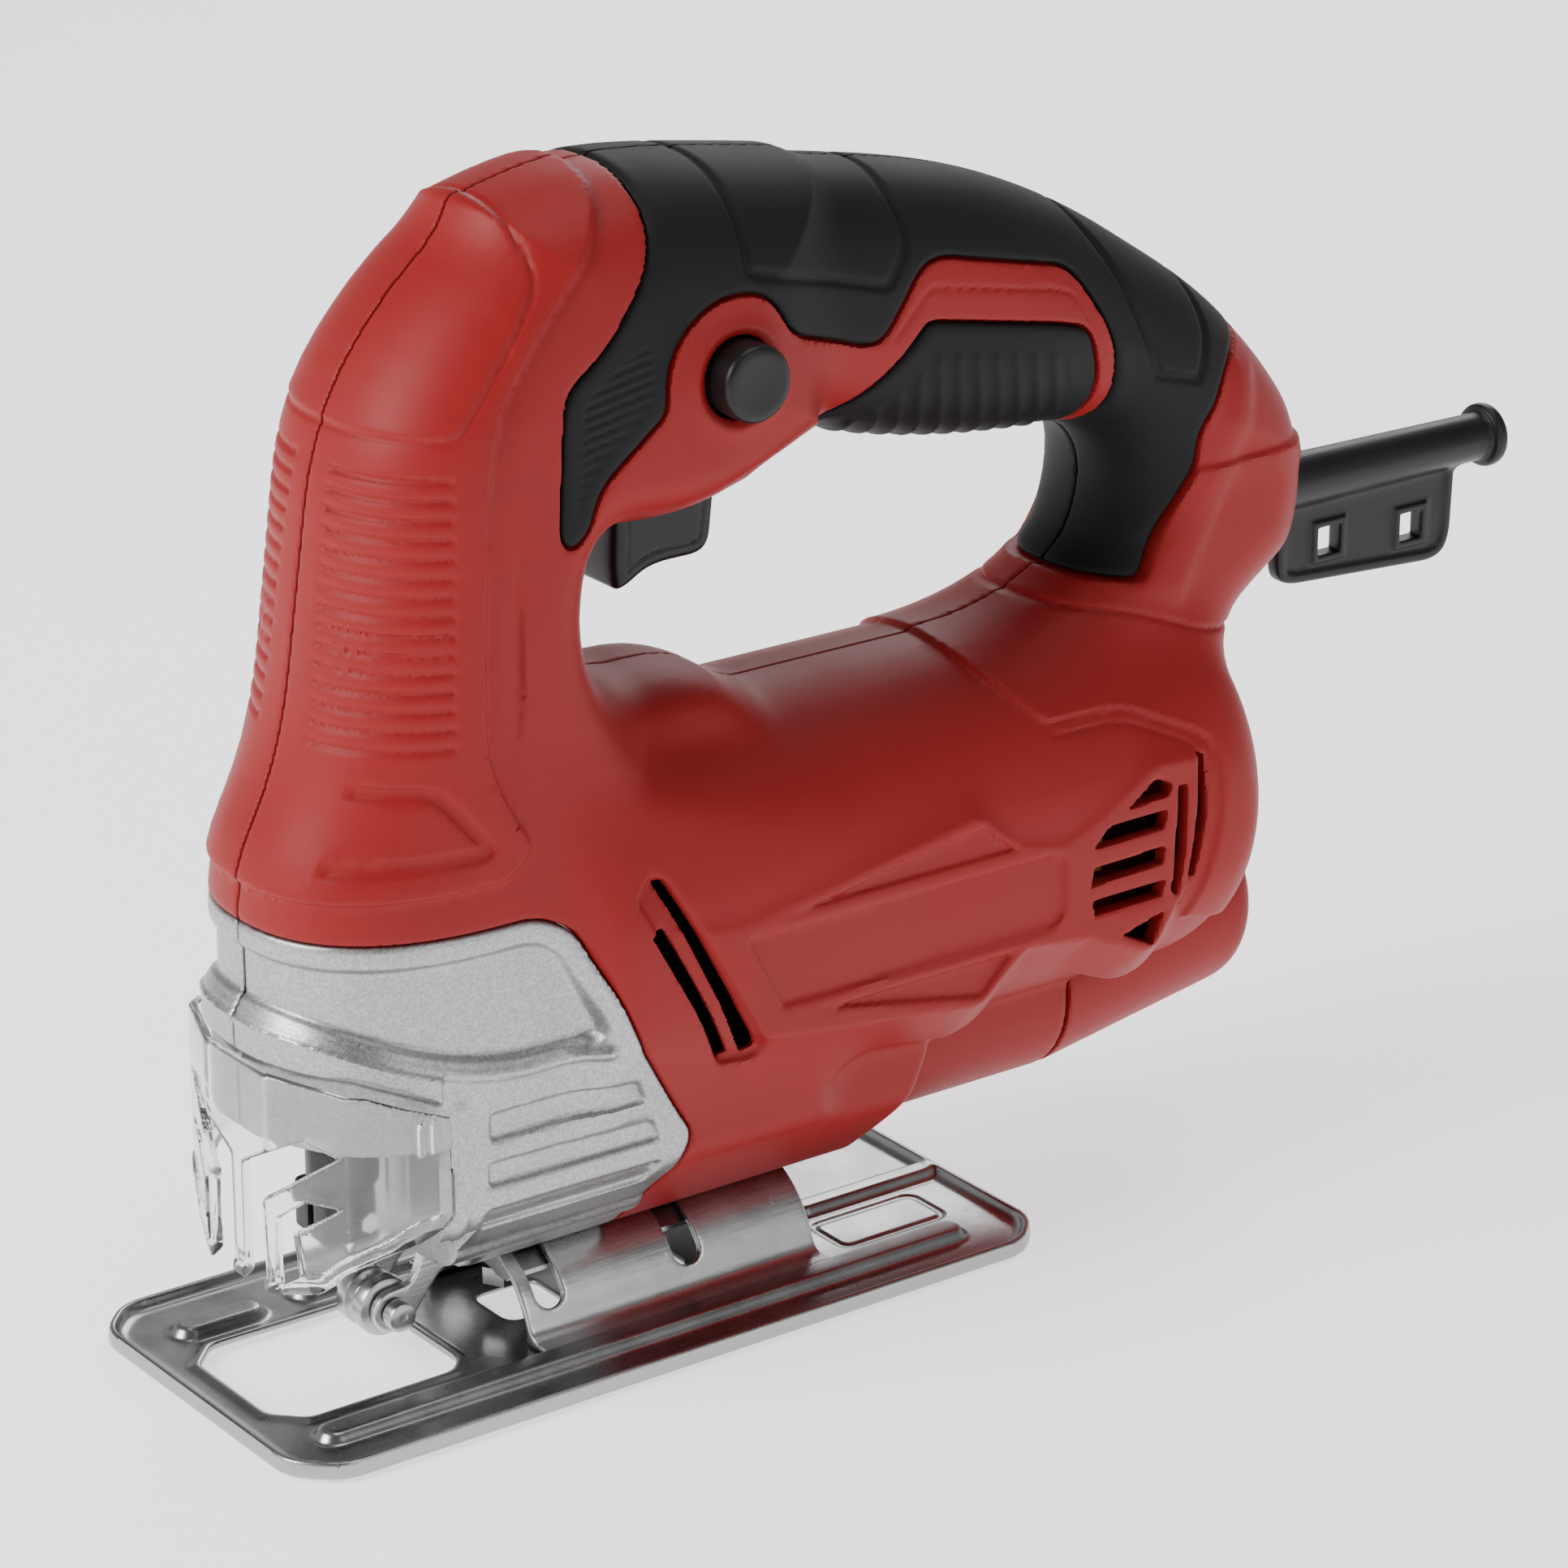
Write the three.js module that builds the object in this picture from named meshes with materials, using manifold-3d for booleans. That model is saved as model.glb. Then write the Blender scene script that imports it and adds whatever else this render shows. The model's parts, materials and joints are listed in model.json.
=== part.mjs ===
// Corded jigsaw with a D-handle.
// Millimetres, +Z up. The origin is the middle of the sole's underside, on the cutting plane.
// -Y is the cutting direction, +Y the cord end, +X the operator's left side. The housing parts at x = 0.
import * as THREE from 'three';
import { mergeVertices } from 'three/addons/utils/BufferGeometryUtils.js';
import Module from 'manifold-3d';

const wasm = await Module();
wasm.setup();

// ---------------------------------------------------------------- driving dimensions
const gap = 0.3;                 // clearance between pieces that touch
const runningGap = 0.5;          // clearance round pieces that move

const soleLength = 153;
const soleWidth = 72;
const sheet = 1.4;               // pressed steel of the sole and the saddle
const rimHeight = 3.5;
const rimThickness = 1.6;
const bladeSlotHalf = 15;
const bladeSlotFront = -68;
const bladeSlotRear = -33;

const archRadius = 17;           // outside of the saddle, about the tilt axis
const archFront = -21;
const archRear = 38;
const archFootHalf = 22;
const tiltLimit = 45;
const clampY = [-15.5, 12.5];    // the two base clamp screws
const clampScrewRadius = 2.2;

const wall = 3;
const skin = 1.4;                // soft overmould
const columnHalf = 25;
const handleHalf = 19.5;
const legHalf = 18;
const caseHalf = 28;
const skirtHalf = 24;
const housingBottom = 15;
const housingTop = 196.5;
const barrelRadius = 35;
const barrelFront = -14;
const barrelRear = 126;
const barrelRound = 14;
const motorZ = 70;
const dustRadius = 17.5;
const dustWall = 2.5;
const dustZ = 36;
const dustRear = 137;
const dustJoint = 93;
const dustClimb = 0.16;          // the outlet rises this much per mm behind its joint
const silverTop = 84;

const gearModule = 0.93;
const pinionTeeth = 6;
const gearTeeth = 36;
const gearY = -31;               // front face of the drive gear
const gearWidth = 8;
const stroke = 18;
const plungerY = -46.3;
const plungerRadius = 3.8;
const fieldSeat = 5;              // from the barrel's bore to the field core
const poleDepth = 11;             // from the outside of the field core to the armature core
const fieldFront = 28;
const fieldRear = 68;
const shaftRadius = 4;
const shaftNose = 1.2;           // carries the pinion
const fanY = 8;
const fanWidth = 9;
const bearingFrontY = -9;
const bearingRearY = 106;
const bearingRadius = 9.5;
const bearingWidth = 6;
const commutatorRadius = 10;
const commutatorFront = 78;
const commutatorRear = 92;

const triggerTravel = 6;
const lockTravel = 4;
const lockRadius = 6.4;
const lockY = 17;
const lockZ = 165;
const rollerRadius = 5.2;
const rollerY = -41;
const rollerZ = 10;
const cordZ = 115;
const sleeveRadius = 4.8;
const sleeveEnd = 205;
const sleeveBore = 3.4;

const yokeHeight = 5.5;           // half the yoke's height
const fieldRadius = barrelRadius - wall - fieldSeat;
const coreRadius = fieldRadius - poleDepth;
const gearRadius = gearModule * gearTeeth / 2;
const pinionRadius = gearModule * pinionTeeth / 2;
const gearZ = motorZ + gearRadius + pinionRadius;
const sole = { front: -soleLength / 2, rear: soleLength / 2, half: soleWidth / 2 };

// ---------------------------------------------------------------- materials
const finish = (color, roughness, metalness, extra = {}) =>
  new THREE.MeshStandardMaterial({ color, roughness, metalness, ...extra });
const materials = {
  red: finish(0x9c2a2a, 0.55, 0),
  soft: finish(0x1b1b1c, 0.8, 0),
  black: finish(0x232325, 0.6, 0),
  silver: finish(0xb4b5b6, 0.4, 0.7),
  clear: finish(0xdfe4e6, 0.15, 0, { transparent: true, opacity: 0.35 }),
  zinc: finish(0xc4c6c8, 0.3, 1),
  steel: finish(0x9a9da0, 0.35, 1),
  dark: finish(0x3a3b3d, 0.5, 0.8),
  copper: finish(0xb0693a, 0.4, 0.9),
  lamination: finish(0x77797c, 0.6, 0.8),
  bronze: finish(0xa07a3c, 0.45, 0.9),
  carbon: finish(0x2a2a2c, 0.8, 0.1),
};

// ---------------------------------------------------------------- solids
function solid(geometry) {
  const bare = geometry.index ? geometry.toNonIndexed() : geometry.clone();
  for (const name of ['normal', 'uv']) bare.deleteAttribute(name);
  const merged = mergeVertices(bare, 1e-4);
  const result = new wasm.Manifold(new wasm.Mesh({
    numProp: 3,
    vertProperties: new Float32Array(merged.attributes.position.array),
    triVerts: new Uint32Array(merged.index.array),
  }));
  return result;
}

function geometryOf(manifold) {
  const mesh = manifold.getMesh();
  const geometry = new THREE.BufferGeometry();
  geometry.setAttribute('position', new THREE.BufferAttribute(mesh.vertProperties, 3));
  geometry.setIndex(new THREE.BufferAttribute(mesh.triVerts, 1));
  geometry.computeVertexNormals();
  return geometry;
}

const join = (...parts) => parts.reduce((sum, part) => sum.add(part));
const cut = (body, ...tools) => tools.reduce((left, tool) => left.subtract(tool), body);

function box(x0, x1, y0, y1, z0, z1) {
  const geometry = new THREE.BoxGeometry(x1 - x0, y1 - y0, z1 - z0);
  return solid(geometry.translate((x0 + x1) / 2, (y0 + y1) / 2, (z0 + z1) / 2));
}

// A turned piece: profile of [radius, distance] pairs along the axis through (0, 0, 0).
function turned(profile, axis, at, segments = 16) {
  const points = profile.map(([radius, along]) => new THREE.Vector2(radius, along));
  const geometry = new THREE.LatheGeometry(points, segments);
  if (axis === 'x') geometry.rotateZ(-Math.PI / 2);
  if (axis === 'z') geometry.rotateX(Math.PI / 2);
  return solid(geometry.translate(...at));
}

function cylinder(radius, from, to, axis, at, segments = 16) {
  return turned([[0, from], [radius, from], [radius, to], [0, to]], axis, at, segments);
}

function ring(outer, inner, from, to, axis, at, segments = 16) {
  const profile = [[inner, from], [outer, from], [outer, to], [inner, to], [inner, from]];
  return turned(profile, axis, at, segments);
}

// A closed outline through corners [a, b, radius], each rounded by its own radius.
function outline(corners) {
  const shape = new THREE.Shape();
  const at = (index) => corners[(index + corners.length) % corners.length];
  corners.forEach((corner, index) => {
    const here = new THREE.Vector2(corner[0], corner[1]);
    const radius = corner[2] ?? 0;
    const reach = ([a, b]) => {
      const step = new THREE.Vector2(a, b).sub(here);
      return here.clone().add(step.setLength(Math.min(radius, step.length() * 0.45)));
    };
    const start = reach(at(index - 1));
    const end = reach(at(index + 1));
    if (index === 0) shape.moveTo(start.x, start.y);
    else shape.lineTo(start.x, start.y);
    if (radius > 0) shape.quadraticCurveTo(here.x, here.y, end.x, end.y);
  });
  shape.closePath();
  return shape;
}

// Side-view outline (y, z) made into a block of the given half width. Its long edges are rounded
// over `across` in x and `round` in the outline's plane. `inset` moves the whole surface inwards.
function sideBlock(corners, half, [across, round], inset = 0) {
  const depth = 2 * (half - inset - across);
  const geometry = new THREE.ExtrudeGeometry(outline(corners), {
    depth, bevelEnabled: true, bevelThickness: across, bevelSize: round,
    bevelOffset: -round - inset, bevelSegments: 2,
  });
  geometry.translate(0, 0, -depth / 2);
  return solid(toSide(geometry));
}

// Local (x, y, z) of a side-view drawing goes to world (y, z, x).
function toSide(geometry) {
  return geometry.applyMatrix4(new THREE.Matrix4().makeBasis(
    new THREE.Vector3(0, 1, 0), new THREE.Vector3(0, 0, 1), new THREE.Vector3(1, 0, 0)));
}

function sideCut(corners, x0, x1) {
  const geometry = new THREE.ExtrudeGeometry(outline(corners),
    { depth: x1 - x0, curveSegments: 2, bevelEnabled: false });
  return solid(toSide(geometry.translate(0, 0, x0)));
}

// Front-view outline (x, z) extruded along y.
function frontCut(corners, y0, y1) {
  const geometry = new THREE.ExtrudeGeometry(outline(corners),
    { depth: y1 - y0, curveSegments: 2, bevelEnabled: false });
  return solid(geometry.rotateX(Math.PI / 2).translate(0, y1, 0));
}

// Plan outline (x, y) extruded along z.
function planCut(corners, z0, z1) {
  const geometry = new THREE.ExtrudeGeometry(outline(corners),
    { depth: z1 - z0, curveSegments: 2, bevelEnabled: false });
  return solid(geometry.translate(0, 0, z0));
}

function largest(manifold) {
  return manifold.decompose().sort((a, b) => b.volume() - a.volume())[0];
}

// ---------------------------------------------------------------- assembly
const group = new THREE.Group();
function add(name, body, material) {
  const mesh = new THREE.Mesh(geometryOf(body), materials[material]);
  mesh.name = name;
  group.add(mesh);
}

// ---------------------------------------------------------------- housing form
const caseFront = -64;
const caseFloor = 20;
const chamberTop = 48;           // the blade chamber is open below this, in front of chamberRear
const chamberRear = -37;

// Blocks that are rounded and hollowed keep sharp corners with long edges in these outlines.
const columnOutline = [
  [caseFront + 1.5, 66], [-61.5, 92], [-54, 111], [-46.5, 164], [-37, 177],
  [-14, housingTop - 2.5], [2, housingTop], [24, housingTop - 2.2], [24, 139.8], [2, 139.5],
  [-7.5, 134], [-8, 117], [2, 100], [2, 66],
];
const handleOutline = [
  [-16, housingTop - 6], [2, housingTop], [24, housingTop - 2.2], [47, 191.3], [70, 187.2],
  [88, 181.5], [106, 172], [124, 159], [141, 144], [141, 122], [108.5, 122],
  [107, 132], [100, 137.5], [79, 139.8], [64, 142], [49, 145.5], [38, 149.3],
  [31, 148], [26, 141.5], [-16, 141.5],
];
const legOutline = [
  [106, 160], [124, 158], [140, 142], [147, 135], [149.5, 124], [147.5, 109], [140, 101.5],
  [134, 100], [126.5, 92], [124, 70], [78, 70], [74, 98], [92, 107.5], [103, 114],
  [108, 125],
];
const caseOutline = [
  [caseFront, silverTop + 3], [caseFront, chamberTop], [chamberRear, chamberTop],
  [chamberRear, caseFloor], [10, caseFloor], [10, silverTop + 3],
];
const skirtOutline = [
  [-24, 60], [-24, housingBottom], [50, housingBottom], [60, 38], [60, 60],
];

// What lies outside the rounded plan of the front. Above the gearcase the front leans back with
// the column: each stretch is a plan sheared along y, from [height, front, half width] to the next.
const frontStations = [
  [-10, caseFront, caseHalf], [silverTop + 4, caseFront, caseHalf], [92, -61.5, columnHalf + 1],
  [111, -54, columnHalf], [164, -46.5, columnHalf - 1.5], [housingTop + 4, -24, columnHalf - 3],
];
function noseRoom(inset) {
  const rooms = [];
  for (let index = 0; index + 1 < frontStations.length; index += 1) {
    const [z0, y0, halfWidth] = frontStations[index];
    const [z1, y1] = frontStations[index + 1];
    const front = y0 + inset;
    const half = halfWidth - inset;
    for (const sign of [1, -1]) {
      const geometry = new THREE.ExtrudeGeometry(outline([
        [0, front - 0.01], [sign * half * 0.36, front + 1.2], [sign * half * 0.66, front + 5],
        [sign * half * 0.9, front + 13], [sign * half, front + 24], [sign * 60, front + 24],
        [sign * 60, front - 60], [0, front - 60],
      ]), { depth: z1 - z0, bevelEnabled: false });
      const slope = (y1 - y0) / (z1 - z0);
      const lean = new THREE.Matrix4().set(1, 0, 0, 0, 0, 1, slope, 0, 0, 0, 1, 0, 0, 0, 0, 1);
      rooms.push(solid(geometry.applyMatrix4(lean).translate(0, 0, z0)));
    }
  }
  return join(...rooms);
}

function barrel(inset) {
  const r = barrelRadius - inset;
  const rear = barrelRear - inset;
  const profile = [
    [0, barrelFront + inset], [r, barrelFront + inset], [r, rear - barrelRound],
    [r - barrelRound * 0.28, rear - barrelRound * 0.4], [r - barrelRound, rear], [0, rear],
  ];
  return turned(profile, 'y', [0, 0, motorZ], 24);
}

// The lower edges are cut back so that the sole can tilt to its limit.
const tiltGap = rimHeight * Math.SQRT2 + 0.45;
function tiltRoom(inset) {
  const floor = housingBottom - 3;
  const corner = floor - tiltGap - inset * Math.SQRT2;
  const side = (sign) => frontCut([
    [sign * corner, floor], [sign * 60, floor + 60 - corner], [sign * 60, floor],
  ], sole.front - 10, 66);
  return join(side(1), side(-1));
}

function housingForm(inset) {
  const body = join(
    sideBlock(columnOutline, columnHalf, [11, 8], inset),
    sideBlock(handleOutline, handleHalf, [15, 10], inset),
    sideBlock(legOutline, legHalf, [12, 8], inset),
    sideBlock(caseOutline, caseHalf, [6, 6], inset),
    sideBlock(skirtOutline, skirtHalf, [4, 4], inset),
    barrel(inset),
  );
  return cut(body, tiltRoom(inset), noseRoom(inset),
    cylinder(archRadius + gap + inset, archFront - 1 - inset, archRear + 1 + inset, 'y', [0, 0, 0], 28));
}

const outer = housingForm(0);
const inner = housingForm(wall);
const skinFloor = housingForm(skin);
const skinPocket = housingForm(skin + gap);

// ---------------------------------------------------------------- zones of the side view
const silverZone = [
  [-80, silverTop], [-24, silverTop - 0.5, 3], [-17.5, 79, 4], [-4, 54.5], [5, 38.5, 3], [1, 28, 2],
  [-1, caseFloor - 12], [-80, caseFloor - 12],
];
const softZone = [
  [6, 215], [6, 192, 4], [0, 184, 4], [-14.5, 169, 4], [-14.8, 143, 2], [-12, 141, 2], [-7, 146, 3],
  [-5, 151, 4], [7, 160, 3], [7.5, 169, 6], [15, 175, 6], [25, 175, 6], [32, 168.5, 3],
  [50, 164, 2], [54, 167.5, 2], [62, 175, 3], [92, 168, 4], [101, 152, 4], [103, 144, 3],
  [99, 136, 3], [92, 128], [92, 111], [103, 111.5, 2], [120, 131.5], [121, 138, 3], [127, 144],
  [160, 150], [160, 215],
];
const gripZone = [
  [63, 164, 2], [94, 156.5, 3], [97.5, 148, 4], [95, 134, 4], [52, 134, 3], [34, 146, 3], [44, 154, 4],
];
const zone = (corners, grow = 0) => {
  if (grow === 0) return sideCut(corners, -80, 80);
  const geometry = new THREE.ExtrudeGeometry(outline(corners), {
    depth: 160, curveSegments: 2, bevelEnabled: true, bevelThickness: 0.01, bevelSize: grow,
    bevelOffset: 0, bevelSegments: 1,
  });
  return solid(toSide(geometry.translate(0, 0, -80)));
};

// ---------------------------------------------------------------- housing inside
const fieldSeats = [fieldFront + 4, fieldRear - 8];
const seatWidth = 3;
const bulkheadTop = 107;
const bulkhead = (y0, y1, hole) => cut(
  inner.intersect(box(-60, 60, y0, y1, motorZ - barrelRadius, bulkheadTop)),
  cylinder(hole, y0 - 1, y1 + 1, 'y', [0, 0, motorZ], 24));

const screwSites = [
  [-24, 172], [62, 177], [135, 127], [104, 102], [-2, 104], [40, 27],
];
const bossRadius = 4;
const pilotRadius = 1.6;
const headRadius = 3.4;
const screwHeadX = -12;          // seat of every screw head, inside its recess
const screwTipX = 9;

const site = (radius, from, to, [y, z], segments = 10) =>
  cylinder(radius, from, to, 'x', [0, y, z], segments);

const bosses = join(...screwSites.map((place) => site(bossRadius + 1, -60, 60, place))).intersect(outer);

const triggerHalf = 6.5;
const triggerRoom = triggerHalf + runningGap;
const triggerHole = box(-triggerRoom, triggerRoom, 3.5, 27.5, 120, 154);
const lockHole = site(lockRadius + runningGap, 0, 60, [lockY, lockZ], 24);
const cordHole = cylinder(sleeveRadius + gap, 120, 170, 'y', [0, 0, cordZ], 20);
const webHalf = 1.5;
const webSlot = box(-webHalf - gap, webHalf + gap, 140, 170, 108, cordZ);
const plungerBottom = 34;
const bushHeight = 7;
const bushRadius = plungerRadius + 2.4;
const lowerBushZ = chamberTop + wall;
const upperBushZ = gearZ + stroke / 2 + yokeHeight + 0.5;
const plungerTop = upperBushZ + stroke / 2 + 4;
const plungerHole = join(
  cylinder(bushRadius + gap, 30, lowerBushZ + bushHeight + 1, 'z', [0, plungerY, 0], 20),
  cylinder(bushRadius + gap, upperBushZ - gap, upperBushZ + bushHeight + gap, 'z', [0, plungerY, 0], 20),
  cylinder(plungerRadius + runningGap, lowerBushZ, plungerTop + stroke / 2 + 1, 'z', [0, plungerY, 0], 20),
);
const clampHoles = join(...clampY.map((y) =>
  cylinder(clampScrewRadius + gap, 0, 30, 'z', [0, y, 0], 16)));
const dustBore = cylinder(dustRadius - dustWall, 50, dustJoint + 1, 'y', [0, 0, dustZ], 24);

// Shears a solid upwards behind the joint of the dust outlet.
function climbing(body) {
  const shift = -dustClimb * dustJoint;
  return body.transform([1, 0, 0, 0, 0, 1, dustClimb, 0, 0, 0, 1, 0, 0, 0, shift, 1]);
}

const frontVent = (shift) => sideCut([
  [-4 + shift, 85], [-1 + shift, 86], [19 + shift, 50], [16 + shift, 48],
], -60, 60);
const rearVents = [];
for (let row = 0; row < 5; row += 1) {
  const z = 58 + row * 5.5;
  const lean = 1.4 * Math.abs(row - 2);
  rearVents.push(sideCut([
    [84 + 2 * lean, z], [102, z - 1], [102, z + 1.8], [84 + 2 * lean, z + 2.8],
  ], -60, 60));
}
for (let column = 0; column < 3; column += 1) {
  const y = 106 + column * 4.5;
  rearVents.push(sideCut([[y, 60], [y + 2.2, 60], [y + 2.2, 82], [y, 82]], -60, 60));
}

const clampBlockTop = motorZ - barrelRadius - 3;
const clampBlock = (y) => cut(
  inner.intersect(box(-7, 7, y - 6, y + 6, 10, clampBlockTop)),
  cylinder(clampScrewRadius + gap, 0, 34, 'z', [0, y, 0], 16));

function shell(side) {
  const near = side * gap / 2;
  const half = box(Math.min(near, side * 90), Math.max(near, side * 90), -120, 240, -10, 240);
  let body = cut(outer, inner);
  for (const y of [bearingFrontY, bearingRearY]) {
    body = join(body, bulkhead(y - bearingWidth / 2, y + bearingWidth / 2, bearingRadius + gap));
  }
  for (const y of fieldSeats) {
    body = join(body, bulkhead(y, y + seatWidth, fieldRadius + gap));
  }
  body = join(body, bosses, ...clampY.map(clampBlock));
  body = join(body, cut(cylinder(dustRadius, 50, dustJoint, 'y', [0, 0, dustZ], 24), inner));
  body = cut(body, triggerHole, lockHole, cordHole, webSlot, plungerHole, clampHoles, dustBore);
  body = cut(body, climbing(cylinder(dustRadius + gap, dustJoint, 140, 'y', [0, 0, dustZ], 24)));
  body = cut(body, frontVent(0), frontVent(5.5), ...rearVents);
  for (const place of screwSites) {
    body = cut(body, site(pilotRadius + gap, screwHeadX - 1, screwTipX + gap, place));
    body = cut(body, site(headRadius + gap, -60, screwHeadX + gap, place));
  }
  return body.intersect(half);
}

function sideName(side) {
  return side > 0 ? 'left' : 'right';
}

for (const side of [1, -1]) {
  const name = sideName(side);
  const whole = shell(side);
  const silver = whole.intersect(zone(silverZone));
  const softRoom = cut(zone(softZone, gap), skinPocket);
  const gripRoom = cut(zone(gripZone, gap), skinPocket);
  const redPart = cut(whole, zone(silverZone, gap), softRoom, gripRoom);
  add(`housing_${name}`, largest(redPart), 'red');
  add(`gearcase_cover_${name}`, largest(silver), 'silver');
  add(`overmould_${name}`, largest(cut(whole.intersect(zone(softZone)), skinFloor)), 'soft');
  add(`lower_grip_${name}`, largest(cut(whole.intersect(zone(gripZone)), skinFloor)), 'soft');
}

screwSites.forEach((place, index) => {
  const head = site(headRadius, screwHeadX - 2.6, screwHeadX, place);
  const shank = site(pilotRadius, screwHeadX - 0.5, screwTipX, place, 12);
  add(`housing_screw_${index + 1}`, join(head, shank), 'steel');
});

// ---------------------------------------------------------------- dust port, sleeve, clamp
const portBore = dustRadius - dustWall;
add('dust_port', climbing(turned([
  [portBore, dustJoint + gap], [dustRadius, dustJoint + gap], [dustRadius, dustRear - 4],
  [dustRadius - 0.8, dustRear - 1.2], [portBore + 0.8, dustRear], [portBore, dustRear],
  [portBore, dustJoint + gap],
], 'y', [0, 0, dustZ], 24)), 'red');

const webEnd = sleeveEnd - 10;
const sleeve = cut(join(
  cylinder(sleeveRadius, 138, sleeveEnd, 'y', [0, 0, cordZ], 20),
  cylinder(sleeveRadius + 1, sleeveEnd - 2, sleeveEnd, 'y', [0, 0, cordZ], 20),
  sideCut([[153, cordZ - 2], [153, 97, 2], [webEnd - 2, 94, 2], [webEnd, cordZ - 2]], -webHalf, webHalf),
), cylinder(sleeveBore, 137, sleeveEnd + 1, 'y', [0, 0, cordZ], 16),
sideCut([[162, 106], [162, 100], [168, 99.5], [168, 105.5]], -5, 5),
sideCut([[182, 105], [182, 99], [188, 98.5], [188, 104.5]], -5, 5));
add('strain_relief', sleeve, 'black');
add('cable_clamp', join(
  box(-9, 9, 130.5, 136.5, cordZ - 9, cordZ - 6),
  box(-3, 3, 131, 136, cordZ - 6.2, cordZ - 4),
), 'black');

// ---------------------------------------------------------------- switch, trigger, lock button
const switchFloor = 154.3;
const switchHalf = 8;
add('switch_body', cut(
  box(-switchHalf, switchHalf, 5, 52, switchFloor, 174),
  cylinder(3.6, switchFloor - 1, switchFloor + 9, 'z', [0, 15, 0], 16),
  site(3.2 + runningGap, 4, 20, [lockY, lockZ], 16),
), 'black');
const triggerTop = switchFloor - triggerTravel - 1;
add('trigger', join(
  sideCut([[5, triggerTop], [5, 136], [4.5, 128, 2], [7, 124, 2], [12, 129, 3], [24, 129.5, 2],
    [25.5, 140, 1], [26, triggerTop]], -triggerHalf, triggerHalf),
  cylinder(1.8, triggerTop - 0.2, triggerTop + 3.5, 'z', [0, 15, 0], 12),
), 'black');

const springTurns = 5;
const springBottom = triggerTop + gap;
const springTop = switchFloor + 8.5;
class Helix extends THREE.Curve {
  getPoint(t, target = new THREE.Vector3()) {
    const angle = t * springTurns * 2 * Math.PI;
    const lift = springBottom + 0.5 + t * (springTop - springBottom - 1);
    return target.set(2.8 * Math.cos(angle), 15 + 2.8 * Math.sin(angle), lift);
  }
}
const wire = new THREE.Shape().absarc(0, 0, 0.4, 0, 2 * Math.PI);
const spring = new THREE.ExtrudeGeometry(wire,
  { steps: springTurns * 8, extrudePath: new Helix(), curveSegments: 2, bevelEnabled: false });
add('trigger_spring', solid(spring), 'steel');

const lockFace = columnHalf + 5;
const lockStem = switchHalf + 1 + lockTravel + gap;
add('lock_button', turned([
  [0, lockStem], [3.2, lockStem], [3.2, 15], [lockRadius, 15.5], [lockRadius, lockFace - 0.8],
  [lockRadius - 0.8, lockFace], [0, lockFace],
], 'x', [0, lockY, lockZ], 24), 'black');

// ---------------------------------------------------------------- sole, saddle and their clamp
const cornerCut = 7;
const cornerRound = 3;
function soleCorners(inset) {
  const half = sole.half - inset;
  const front = sole.front + inset;
  const rear = sole.rear - inset;
  const chamfer = cornerCut - inset * 0.6;
  return [
    [-half, front + chamfer], [-half + chamfer, front], [half - chamfer, front], [half, front + chamfer],
    [half, rear - chamfer], [half - chamfer, rear], [-half + chamfer, rear], [-half, rear - chamfer],
  ].map(([x, y]) => [x, y, cornerRound]);
}
const ribHeight = 1.6;
const rib = (x, y0, y1) => planCut([
  [x - 3, y0, 2], [x + 3, y0, 2], [x + 3, y1, 2], [x - 3, y1, 2],
], sheet - 0.2, sheet + ribHeight);
const accessSlot = (y0, y1) => planCut([
  [-6, y0, 3], [6, y0, 3], [6, y1, 3], [-6, y1, 3],
], -1, sheet + 1);
add('base_plate', cut(join(
  planCut(soleCorners(0), 0, rimHeight).subtract(planCut(soleCorners(rimThickness), sheet, rimHeight + 1)),
  rib(-27.5, -66, 68), rib(27.5, -66, 68),
), planCut([
  [-bladeSlotHalf, bladeSlotFront + 5, 2], [-bladeSlotHalf + 5, bladeSlotFront, 2],
  [bladeSlotHalf - 5, bladeSlotFront, 2], [bladeSlotHalf, bladeSlotFront + 5, 2],
  [bladeSlotHalf, bladeSlotRear - 3, 2], [bladeSlotHalf - 3, bladeSlotRear, 2],
  [-bladeSlotHalf + 3, bladeSlotRear, 2], [-bladeSlotHalf, bladeSlotRear - 3, 2],
], -1, sheet + 1), accessSlot(archFront + 3, -6), accessSlot(6, 19)), 'zinc');

const footZ = sheet + gap;
const slotReach = THREE.MathUtils.degToRad(tiltLimit + 14);
const slotHalf = clampScrewRadius + runningGap;
function archSlot(y) {
  const end = (turn) => solid(new THREE.CylinderGeometry(slotHalf, slotHalf, 12, 12).rotateX(Math.PI / 2)
    .translate(0, 0, archRadius).rotateY(turn).translate(0, y, 0));
  const far = 60;
  const side = [far * Math.sin(slotReach), far * Math.cos(slotReach)];
  const sweep = cut(
    cylinder(archRadius + 4, y - slotHalf, y + slotHalf, 'y', [0, 0, 0], 28),
    frontCut([[0, 0], [-side[0], side[1]], [-far, -far], [far, -far], side], y - 10, y + 10));
  return join(end(-slotReach), end(slotReach), sweep);
}
add('saddle_bracket', cut(join(
  cut(ring(archRadius, archRadius - sheet, archFront, archRear, 'y', [0, 0, 0], 36),
    box(-60, 60, archFront - 1, archRear + 1, -60, footZ)),
  box(archRadius - sheet - 0.3, archFootHalf, archFront, archRear, footZ, footZ + sheet),
  box(-archFootHalf, -archRadius + sheet + 0.3, archFront, archRear, footZ, footZ + sheet),
), ...clampY.map(archSlot)), 'zinc');

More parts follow.
